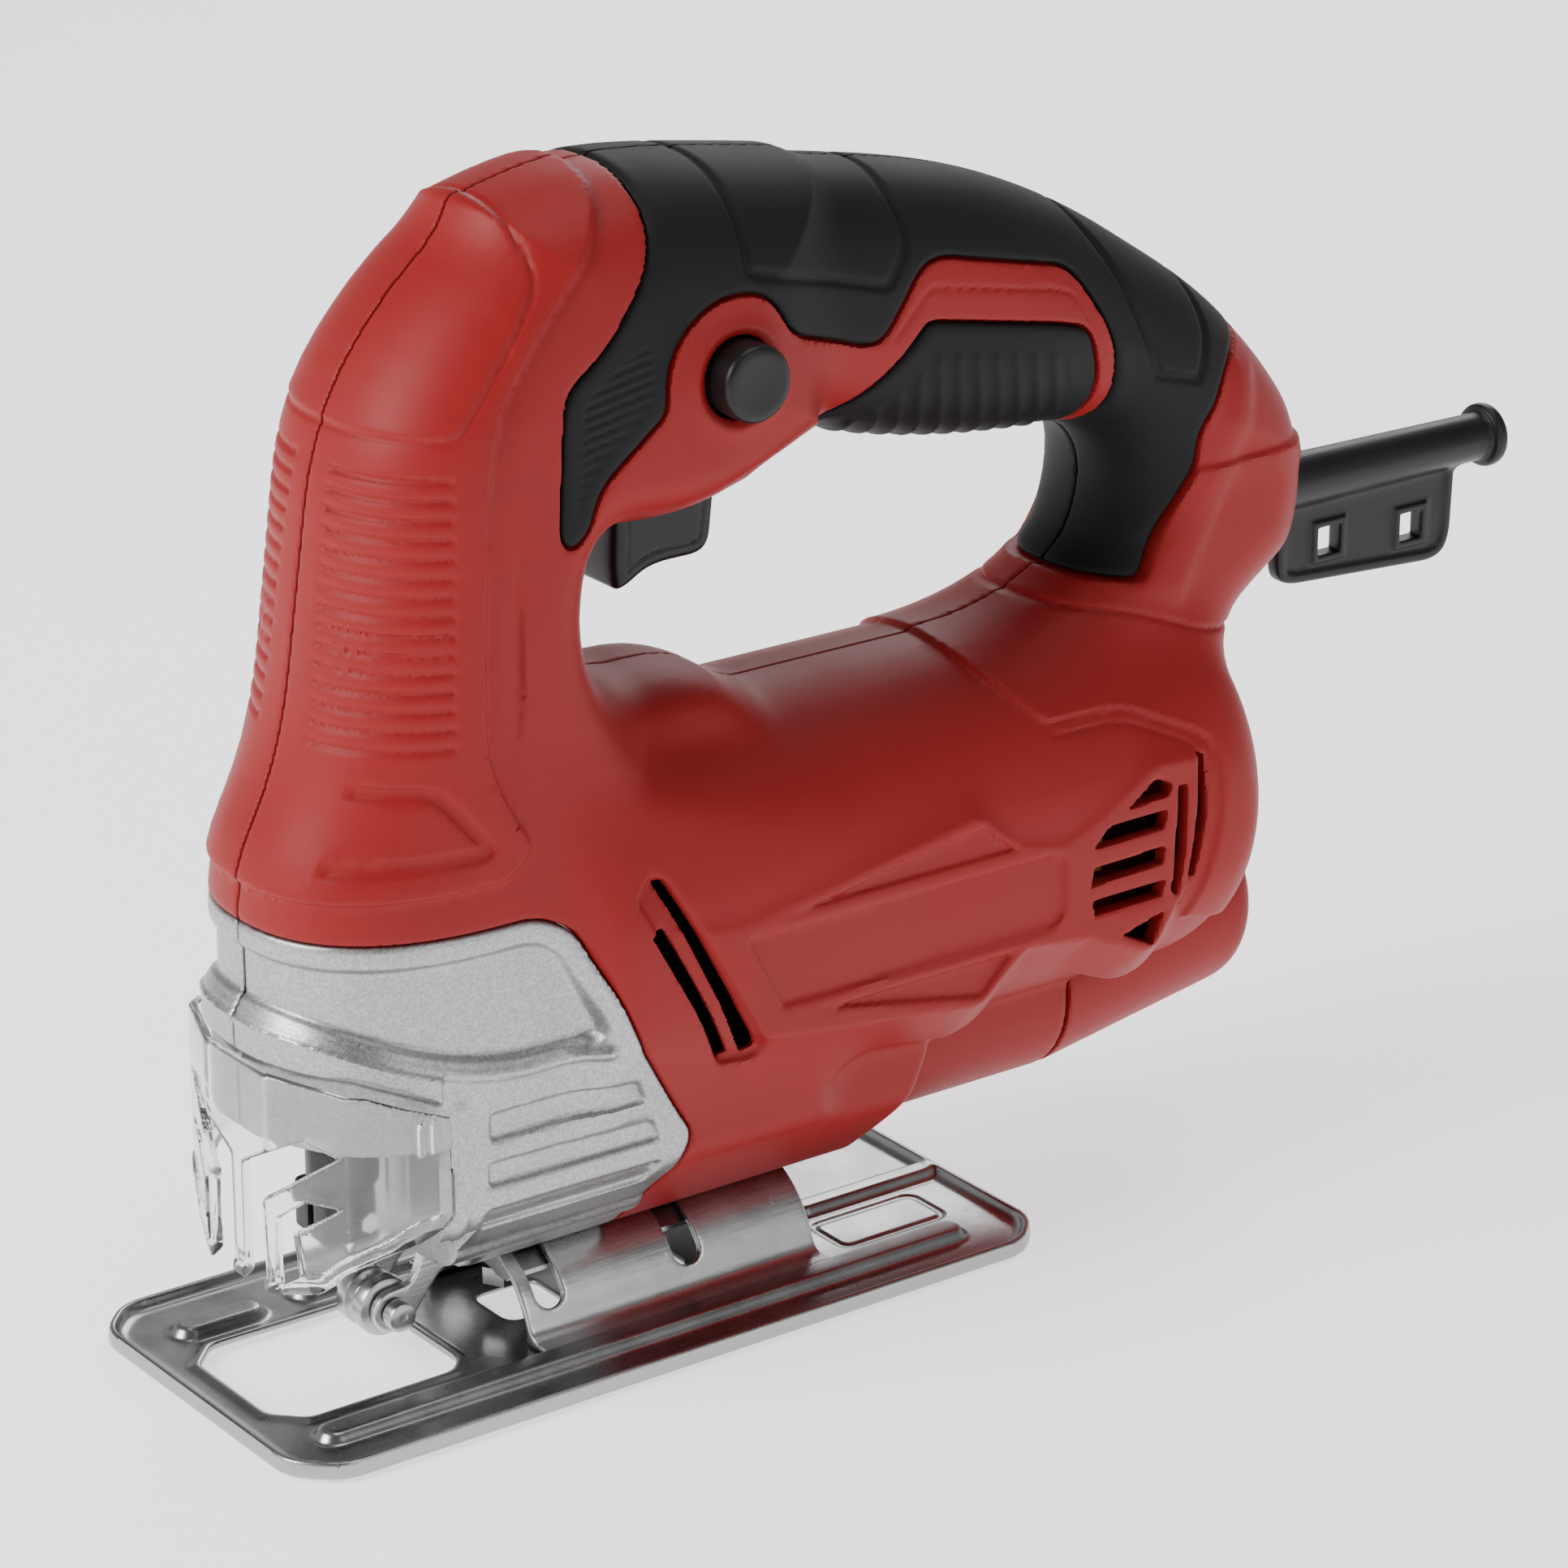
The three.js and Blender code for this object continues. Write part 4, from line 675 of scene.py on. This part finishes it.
# ---------------------------------------------------------------- housing pieces
def housing_halves():
    """Red clamshell, silver gearcase cover, overmould and grip pad, on each side of the parting plane."""
    axes = grid((-1.5, -67.5, 12), (36.5, 153, 200), 0.5)
    x, y, z = axes
    across = np.abs(x)
    opened, closed = body_fields(across, y, z)
    silver, soft, grip = (area(outline(zone), y, z) for zone in (SILVER, SOFT, GRIP))
    hollow = np.maximum(closed + WALL, -np.maximum(y - CHAMBER_REAR - 2, z - CHAMBER_TOP - 2.5))
    chamber = np.minimum(opened + WALL, y - CHAMBER_SIDE)
    chamber = np.maximum(chamber, np.maximum(y - CHAMBER_REAR, z - CHAMBER_TOP))
    room = np.minimum(hollow, chamber)
    rod = np.hypot(x, y - PLUNGER_Y)
    room = np.minimum(room, np.maximum(rod - 6.7, np.abs(z - 53) - 7))
    room = np.minimum(room, np.maximum(np.maximum(rod - 4.3, np.abs(z - 90) - 39), closed + 0.8))
    trigger_hole = np.maximum(np.maximum(across - 7.1, np.abs(y - 15.5) - 12), np.abs(z - 137) - 17)
    cord_hole = np.maximum(np.hypot(across, z - CORD_Z) - 5.15, 120 - y)
    web_hole = np.maximum(np.maximum(across - 1.9, np.abs(z - 105) - 12), 141 - y)
    bore = np.maximum(np.hypot(across, z - TUBE_Z) - TUBE_RADIUS + TUBE_WALL, 50 - y)
    port = np.hypot(across, z - TUBE_Z - TUBE_CLIMB * (y - TUBE_JOINT)) - TUBE_RADIUS - 0.25
    port = np.maximum(port, TUBE_JOINT - y)
    room = np.minimum(np.minimum(room, trigger_hole), np.minimum(cord_hole, web_hole))
    room = np.minimum(room, np.minimum(bore, port))
    slots = [area(outline(corners), y, z) for corners in VENT_SLOTS + REAR_SLOTS]
    slots = np.minimum.reduce(slots)
    plain = closed - relief(across, y, z)
    for side in ("left", "right"):
        far = side == "right"
        cut = room
        if far:
            step = np.minimum(LAP_GAP - LAP_DEPTH - closed, LAP_REACH + LAP_GAP - x)
            parting = np.maximum(PARTING - x, step)
        else:
            parting = np.minimum(PARTING - x, np.maximum(closed + LAP_DEPTH, -LAP_REACH - x))
        if far:
            for site_y, site_z in SCREW_SITES:
                well = np.hypot(y - site_y, z - site_z) - 3.8
                cut = np.minimum(cut, np.maximum(well, 12.2 - across))
        else:
            lock = np.hypot(y - LOCK_Y, z - LOCK_Z) - LOCK_RADIUS - 0.45
            cut = np.minimum(cut, np.maximum(lock, 8 - across))
        pocket = np.maximum(-(closed + SKIN + 0.25), np.minimum(soft, grip) - 0.2)
        red = blend_max(plain, 0.18 - silver, 0.7)
        red = np.maximum(blend_max(red, parting, 0.35), -pocket)
        red = np.maximum(blend_max(red, -cut, 0.5), -slots)
        moulded(f"housing_{side}", red, axes, "red", "housing", mirrored=far)
        shell = blend_max(closed - silver_relief(y, z), silver, 1.0)
        shell = np.maximum(blend_max(shell, parting, 0.35), -cut)
        moulded(f"gearcase_cover_{side}", shell, axes, "silver", "housing", mirrored=far)
        skin = blend_max(closed - soft_relief(across, y, z) - 0.15, soft + 0.15, 1.6)
        skin = np.maximum(blend_max(skin, PARTING - x, 0.35), np.maximum(-(closed + SKIN), -cut))
        moulded(f"overmould_{side}", skin, axes, "soft", "housing", mirrored=far)
        pad = blend_max(closed - grip_relief(y, z) - 0.3, grip + 0.15, 1.8)
        pad = np.maximum(blend_max(pad, PARTING - x, 0.35), np.maximum(-(closed + SKIN), -cut))
        moulded(f"lower_grip_{side}", pad, axes, "soft", "housing", mirrored=far)


housing_halves()


# ---------------------------------------------------------------- dust port, cord sleeve, trigger, lock
def dust_port():
    """Outlet tube behind the housing, climbing a little, with a rounded mouth."""
    low, high = span("dust_port")
    axes = grid((-20, low[1] - 1, 16), (20, high[1] + 1, 64), 0.42)
    x, y, z = axes
    radial = np.hypot(x, z - TUBE_Z - TUBE_CLIMB * (y - TUBE_JOINT))
    tube = blend_max(radial - TUBE_RADIUS, y - high[1], 5.5)
    tube = blend_max(tube, low[1] - y, 0.5)
    bore = TUBE_RADIUS - TUBE_WALL - radial
    moulded("dust_port", blend_max(tube, bore, 1.2), axes, "red", "housing")


WEB = [(152.6, 116), (152.9, 97.6, 3), (155.6, 95.8, 3), (192, 93.6, 4), (195, 96.8, 4), (195.6, 116)]


def strain_relief():
    """Rubber cord sleeve with its end collar and the hanging web with two square holes."""
    axes = grid((-7, 137, 90), (7, 206.5, 122), 0.3)
    x, y, z = axes
    radial = np.hypot(x, z - CORD_Z - 0.0009 * (y - 138))
    radius = along(y, (138, 5.1), (160, 4.9), (200, 4.45))
    sleeve = blend_max(radial - radius, np.abs(y - 171.4) - 33.4, 0.6)
    collar = blend_max(radial - 5.9, np.abs(y - 203.6) - 1.4, 1.2)
    sleeve = blend_min(sleeve, collar, 0.6)
    flat = area(outline(WEB), y, z)
    web = blend_max(flat, np.abs(x) - 1.15, 0.5)
    edge = blend_max(np.abs(flat + 1.0) - 0.9, np.abs(x) - 1.75, 0.7)
    web = blend_min(web, edge, 0.6)
    for low_y in (162.3, 182.3):
        hole = np.maximum(np.abs(y - low_y - 2.8) - 2.6, np.abs(z - 102.6 + 0.06 * (low_y - 162)) - 2.6)
        frame_edge = blend_max(np.abs(hole - 0.7) - 0.7, np.abs(x) - 1.75, 0.5)
        web = np.maximum(blend_min(web, frame_edge, 0.4), -hole)
    whole = blend_min(sleeve, web, 1.4)
    moulded("strain_relief", blend_max(whole, CORD_BORE - radial, 0.5), axes, "black", "housing")


TRIGGER = [(5.2, 147), (5.2, 137, 3), (4.9, 130.4, 2), (5.4, 126.2, 1.4), (7.6, 126.6, 1.4), (12.4, 129.4, 4),
           (22.4, 129.4, 2.5), (24.4, 131.4, 2), (25.4, 140.2, 1.2), (25.8, 147)]


def trigger():
    """Finger trigger with a rounded face, and its guide post."""
    axes = grid((-7.5, 3, 122), (7.5, 28, 152), 0.24)
    x, y, z = axes
    side = area(outline(TRIGGER), y, z)
    pad = blend_max(side, np.abs(x) - 6.4, 2.2)
    ridge = 0.3 * rise(np.abs(side + 2.6) - 0.4, 0.5) * rise(5.2 - np.abs(x), 0.8)
    post = np.maximum(np.hypot(x, y - 15) - 1.8, np.abs(z - 148.6) - 2.0)
    pad = np.minimum(blend_max(pad + ridge, z - 147.2, 0.4), post)
    moulded("trigger", pad, axes, "black", "trigger")


def lock_button():
    """Turned push button with a shallow dish in its face."""
    low, high = span("lock_button")
    face, r = high[0], LOCK_RADIUS
    profile = [(0, low[0]), (3.2, low[0]), (3.2, 15.2), (r - 0.4, 15.5), (r, 15.9), (r, face - 1.3)]
    profile += [(r - 0.12, face - 0.75), (r - 0.42, face - 0.32), (r - 0.9, face - 0.08), (r - 1.5, face)]
    profile += [(r - 2.4, face - 0.08), (2, face - 0.22), (0, face - 0.25)]
    centre = (low + high) / 2
    turned("lock_button", profile, "x", (0, centre[1], centre[2]), "black", "lock_button", sides=96)


def trigger_spring():
    """Wound spring between trigger and switch."""
    low, high = span("trigger_spring")
    turns, steps, sides, wire = 6.0, 40, 10, 0.36
    radius = (high[0] - low[0]) / 2 - wire - 0.05
    middle = (low + high) / 2
    angles = np.linspace(0, 2 * math.pi * turns, int(turns * steps))
    wound = np.clip((angles - 2) / (angles[-1] - 4), 0, 1)
    heights = low[2] + wire + 0.05 + wound * (high[2] - low[2] - 2 * wire - 0.1)
    ring = np.linspace(0, 2 * math.pi, sides, endpoint=False)
    reach = radius + wire * np.cos(ring)[None, :]
    places = (middle[0] + reach * np.cos(angles)[:, None], middle[1] + reach * np.sin(angles)[:, None],
              heights[:, None] + wire * np.sin(ring)[None, :])
    points = np.stack(places, axis=2).reshape(-1, 3)
    count = len(angles)
    start = np.arange(count - 1)[:, None] * sides
    here, there = np.arange(sides)[None, :], (np.arange(sides)[None, :] + 1) % sides
    walls = np.stack([start + here, start + there, start + sides + there, start + sides + here], axis=2)
    caps = [np.arange(sides)[None, ::-1], np.arange(sides)[None, :] + (count - 1) * sides]
    tables = [walls.reshape(-1, 4), np.concatenate(caps)]
    spring = piece("trigger_spring", points, tables, "steel", "housing")
    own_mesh(spring)


dust_port()
strain_relief()
trigger()
lock_button()
trigger_spring()


# ---------------------------------------------------------------- sole, saddle and blade guide
BLADE_OPENING = [(-15.7, -63.5), (-10.7, -68.5), (10.7, -68.5), (15.7, -63.5), (15.7, -36), (12.7, -33),
                 (-12.7, -33), (-15.7, -36)]


def sole_lift(x, y):
    """Height pressed into the sole's sheet at each point of its plan."""
    ridge = np.hypot(x - 23.4, np.maximum(np.abs(y + 1) - 62.5, 0)) - 4.0
    lift = 1.9 * rise(ridge, 2.2)
    other = np.hypot(x + 22.5, np.maximum(np.abs(y + 58) - 5.5, 0)) - 4.0
    lift = lift + 1.9 * rise(other, 2.2)
    rear = np.hypot(x + 23.4, np.maximum(np.abs(y - 10) - 50, 0)) - 4.0
    lift = lift + 1.9 * rise(rear, 2.2)
    spine = np.hypot(x - 1, np.maximum(np.abs(y - 60) - 13, 0)) - 3.2
    lift = lift + 1.8 * rise(spine, 2.0)
    tray = np.hypot(np.maximum(np.abs(x - 11.6) - 3.2, 0), np.maximum(np.abs(y - 55.5) - 9, 0)) - 2.2
    lift = lift - 0.35 * rise(np.abs(tray + 0.2) - 1.0, 1.0)
    brim = area(np.array(BLADE_OPENING), x, y)
    return lift + 0.5 * rise(brim - 2.4, 1.6)


def base_plate():
    """Pressed sole: flat sheet with raised ridges and a turned-up rim."""
    axes = grid((-37.2, -77.8, -0.8), (37.2, 77.8, 5.2), 0.36)
    x, y, z = axes
    cut_x, cut_y = SOLE_HALF - SOLE_CORNER, SOLE_END - SOLE_CORNER
    corners = [(-SOLE_HALF, -cut_y, 4), (-cut_x, -SOLE_END, 4), (cut_x, -SOLE_END, 4), (SOLE_HALF, -cut_y, 4),
               (SOLE_HALF, cut_y, 4), (cut_x, SOLE_END, 4), (-cut_x, SOLE_END, 4), (-SOLE_HALF, cut_y, 4)]
    plan = area(outline(corners, arc=8), x[:, :, 0], y[:, :, 0])[:, :, None]
    lift = sole_lift(x[:, :, 0], y[:, :, 0])[:, :, None]
    sheet = np.maximum(np.abs(z - lift - SHEET / 2) - SHEET / 2, plan)
    rim = np.maximum(np.maximum(plan, -plan - 1.5), np.abs(z - RIM / 2 - 0.05) - RIM / 2 + 0.05)
    sole = blend_min(sheet, rim, 2.4)
    sole = blend_max(sole, plan, 1.6)
    sole = blend_max(sole, -z, 1.2)
    sole = blend_max(sole, z - RIM, 0.9)
    holes = area(outline([(a, b, 1.5) for a, b in BLADE_OPENING]), x, y)
    for low_y, high_y in ((-18, -6), (6, 19)):
        lengthwise = np.abs(y - (low_y + high_y) / 2) - (high_y - low_y) / 2
        holes = np.minimum(holes, blend_max(np.abs(x) - 6, lengthwise, 3))
    sole = blend_max(sole, -holes + 0 * z, 0.5)
    moulded("base_plate", sole, axes, "zinc", "base", sharp=50)


def saddle_bracket():
    """Arched saddle with flared feet and two slots round it for the tilt clamp."""
    low, high = span("saddle_bracket")
    axes = grid((-23.5, low[1] - 1, 0.5), (23.5, high[1] + 1, 18), 0.3)
    x, y, z = axes
    far = np.abs(x)
    radial = np.hypot(x, z)
    arch = np.maximum(np.abs(radial - ARCH_RADIUS + SHEET / 2) - SHEET / 2, 1.5 - z)
    foot_top = along(far, (14.5, 3.3), (17, 3.1), (22, 3.0))
    foot = np.maximum(np.maximum(z - foot_top, foot_top - SHEET - z), np.maximum(far - 21.8, 15.2 - far))
    saddle = blend_min(arch, foot, 2.6)
    saddle = np.maximum(saddle, ARCH_RADIUS - SHEET - radial)
    saddle = blend_max(saddle, 1.72 - z, 0.3)
    saddle = blend_max(saddle, np.abs(y - (low[1] + high[1]) / 2) - (high[1] - low[1]) / 2, 0.6)
    turn = np.degrees(np.arctan2(far, z))
    for slot_y in (-15.5, 12.5):
        over = np.maximum(turn - 56.5, 0) * math.pi / 180 * ARCH_RADIUS
        slot = np.hypot(y - slot_y, over) - 2.7
        saddle = blend_max(saddle, -slot, 0.5)
    moulded("saddle_bracket", saddle, axes, "pressed", "base")


def blade_guide():
    """Grooved roller on its pin, between the ears of a pressed fork."""
    half = [(1.6, -3.6), (2.0, -4), (4.6, -4), (5.0, -3.8), (5.2, -3.4), (5.2, -1.5), (5.0, -1.2),
            (4.1, -0.9), (3.8, -0.6)]
    profile = half + [(radius, -distance) for radius, distance in reversed(half)]
    turned("roller", profile, "x", (0, ROLLER_Y, ROLLER_Z), "steel", "roller", sides=80)
    low, high = span("roller_pin")
    head = high[0]
    pin = [(0, low[0]), (1.2, low[0]), (1.5, low[0] + 0.3), (1.5, head - 2.7), (2.4, head - 2.7)]
    pin += [(2.6, head - 2.5), (2.6, head - 0.5), (2.45, head - 0.2), (2.1, head), (0.8, head)]
    pin += [(0.6, head - 0.2), (0, head - 0.25)]
    turned("roller_pin", pin, "x", (0, ROLLER_Y, ROLLER_Z), "steel", "housing")
    axes = grid((-7.4, -46, 5), (7.4, -24.4, 20.5), 0.2)
    x, y, z = axes
    ears = [(-3.4, -2.2, 2.2), (0, -3.9, 2), (3.4, -2.6, 2), (9.6, 5.3, 2), (15.4, 5.5, 1), (15.4, 9.7),
            (5.8, 9.7), (4, 4, 3), (0, 3.8, 2), (-3.4, 2.4, 2.2)]
    flat = area(outline(ears), y - ROLLER_Y, z - ROLLER_Z)
    flat = blend_min(flat, np.hypot(y - ROLLER_Y, z - ROLLER_Z) - 3.7, 0.5)
    sheet = blend_max(flat, np.abs(np.abs(x) - 5.3) - 0.85, 0.4)
    bridge = np.maximum(np.maximum(np.abs(x) - 5.4, np.abs(y + 27.7) - 2.1), np.abs(z - 18.8) - 0.85)
    fork = np.maximum(blend_min(sheet, bridge, 0.8), 1.56 - np.hypot(y - ROLLER_Y, z - ROLLER_Z))
    moulded("roller_bracket", fork, axes, "pressed", "housing")


def blade_drive():
    """Plunger rod with a chamfered foot, and the block that clamps a blade."""
    low, high = span("plunger")
    tip = 3.2
    rod = [(0, low[2]), (tip, low[2]), (ROD_RADIUS, low[2] + ROD_CHAMFER)]
    rod += [(ROD_RADIUS, high[2] - ROD_CHAMFER), (tip, high[2]), (0, high[2])]
    turned("plunger", rod, "z", (0, PLUNGER_Y, 0), "steel", "plunger")
    low, high = span("blade_clamp")
    axes = grid(low - 1, high + 1, 0.2)
    x, y, z = axes
    radial = np.hypot(x, y - PLUNGER_Y)
    collar = blend_max(radial - 6.1, np.abs(z - high[2] + 3.6) - 3.6, 0.9)
    collar = np.maximum(collar, 3.86 - radial + np.where(z < 33.85, 5, 0))
    top = CLAMP_BLOCK_TOP
    block = blend_max(np.abs(x) - 5.4, np.maximum(y - PLUNGER_Y - 3.4, PLUNGER_Y - 6.4 - y), 1.2)
    block = blend_max(block, np.abs(z - top + 4.5) - 4.4, 0.8)
    slit = np.maximum(np.maximum(np.abs(x) - 0.9, np.abs(y - PLUNGER_Y + 4) - 4), z - top + 2)
    clamp = np.maximum(blend_min(collar, block, 0.6), -slit)
    clamp = np.maximum(clamp, 3.86 - radial - np.where(z < 33.9, 9, 0))
    moulded("blade_clamp", clamp, axes, "dark", "plunger")


base_plate()
saddle_bracket()
blade_guide()
blade_drive()


# ---------------------------------------------------------------- clear guard
GUARD_WINDOWS = [[(2.0, 43, 0.5), (15.4, 50.5, 0.5), (22.3, 49.3, 0.5), (7.3, 38.2, 0.5), (8.3, 15.2, 0.5),
                  (1.9, 11.6, 0.5)],
                 [(10.4, 35.7, 0.4), (15.8, 39.9, 0.4), (22.4, 40.4, 0.4), (13.6, 34, 0.4), (14.6, 26.3, 0.4),
                  (10.4, 23.4, 0.4)]]


def chip_guard():
    """Faceted clear visor clipped round the nose, with nested arrow windows beside its middle."""
    axes = grid((-31.4, -68, 8), (31.4, -36.5, 62.5), 0.3)
    x, y, z = axes
    far = np.abs(x)
    plan = [(-GUARD_HALF, -20), (-GUARD_HALF, -51.5, 2), (-24.4, -60.2, 1), (-9, GUARD_FRONT, 1),
            (9, GUARD_FRONT, 1), (24.4, -60.2, 1), (GUARD_HALF, -51.5, 2), (GUARD_HALF, -20)]
    shape = area(outline(plan), x, y)
    shell = np.maximum(shape, -shape - GUARD_SHEET)
    top = along(y, *GUARD_TOP)
    nose = along(far, (0, 9.2), (6, 9.4), (8.6, 10.4), (9.3, 13.4), (11, 16.8), (17, 22.8), (22, 28.4),
                 (28.4, 33.6), (30.4, 36.4))
    skirt = (nose - z) * 0.74
    edge = np.maximum(np.maximum(z - top, skirt), np.maximum(y + 43.9, (36.6 - z) * 0.8 + (y + 45.2) * 0.55))
    guard = blend_max(shell, edge, 0.6)
    lip = np.maximum(np.maximum(shape - 0.45, -shape - GUARD_SHEET), np.abs(edge + 0.8) - 0.8)
    guard = blend_min(guard, np.maximum(lip, z - 46), 0.5)
    for y0, half in ((-49.9, 0.5), (-47.6, 0.5)):
        rib = np.maximum(np.abs(y - y0) - half, np.maximum(z - 55.6, 50 - z))
        guard = blend_min(guard, np.maximum(rib, np.maximum(shape - 0.7, -shape - 0.5)), 0.5)
    for corners in GUARD_WINDOWS:
        window = np.maximum(area(outline(corners), far, z), y + 56)
        guard = blend_max(guard, -window, 0.5)
    moulded("chip_guard", guard, axes, "clear", "chip_guard", sharp=30)


chip_guard()


# ---------------------------------------------------------------- everything the frame already shapes well
MOTOR_FINISH = {"armature_winding_front": "copper", "armature_winding_rear": "copper", "commutator": "copper",
                "field_coil_upper": "copper", "field_coil_lower": "copper", "armature_core": "lamination",
                "field_core": "lamination", "gear_plate": "lamination", "brush_left": "carbon",
                "brush_right": "carbon", "brush_holder_left": "bronze", "brush_holder_right": "bronze",
                "plunger_bushing_lower": "bronze", "plunger_bushing_upper": "bronze", "fan": "black",
                "air_baffle": "black", "switch_body": "black", "cable_clamp": "black"}
for members in frame["record"]["behaviour"]["bodies"].values():
    for node in members:
        thing = frame["nodes"][node]
        thing.data.materials.clear()
        thing.data.materials.append(MATERIALS[MOTOR_FINISH.get(node, "steel")])


# ---------------------------------------------------------------- studio
CAMERA_PLACE, CAMERA_AIM = (0.68251, -0.45849, 0.40834), (-0.00412, 0.04662, 0.08044)     # metres


def studio():
    """Pale floor, soft lamps and the camera."""
    mesh = bpy.data.meshes.new("floor")
    reach = 6.0
    corners = [(-reach, -reach, 0), (reach, -reach, 0), (reach, reach, 0), (-reach, reach, 0)]
    mesh.from_pydata(corners, [], [(0, 1, 2, 3)])
    floor = bpy.data.objects.new("floor", mesh)
    bpy.context.scene.collection.objects.link(floor)
    paint = plastic("floor_paper", linear(246, 246, 246), 0.9, 300.0, (0.02, 0.0001), 0.01,
                    Emission_Color=(1, 1, 1, 1), Emission_Strength=1.1, Specular_IOR_Level=0.1)
    mesh.materials.append(paint)
    floor.location.z = -0.0004
    world = bpy.data.worlds.new("studio")
    bpy.context.scene.world = world
    world.use_nodes = True
    sky = Nodes(world.node_tree)
    back = world.node_tree.nodes["Background"]
    split = sky.add("ShaderNodeSeparateXYZ")
    sky.link(sky.add("ShaderNodeTexCoord").outputs["Generated"], split.inputs[0])
    sky.link(sky.spread(split.outputs["Z"], 0.02, 0.7, 0.75, 0.16), back.inputs["Strength"])
    back.inputs["Color"].default_value = (1, 1, 1, 1)
    target = Vector((0, 0.04, 0.09))
    lamps = [("key", (-0.2, -1.25, 0.9), 0.7, 27), ("side", (1.35, 0.35, 0.75), 0.7, 4),
             ("top", (0.1, 0.3, 1.5), 0.8, 7), ("rear", (-0.9, 1.0, 0.9), 0.7, 7)]
    for name, place, size, power in lamps:
        lamp = bpy.data.lights.new(name, "AREA")
        lamp.energy, lamp.size = power, size
        held = bpy.data.objects.new(name, lamp)
        bpy.context.scene.collection.objects.link(held)
        held.location = place
        held.rotation_euler = (target - held.location).to_track_quat("-Z", "Y").to_euler()
    lens = bpy.data.cameras.new("camera")
    lens.lens, lens.sensor_width, lens.clip_end = 122.5, 36.0, 50
    camera = bpy.data.objects.new("camera", lens)
    bpy.context.scene.collection.objects.link(camera)
    camera.location = CAMERA_PLACE
    camera.rotation_euler = (Vector(CAMERA_AIM) - camera.location).to_track_quat("-Z", "Y").to_euler()
    bpy.context.scene.camera = camera


studio()
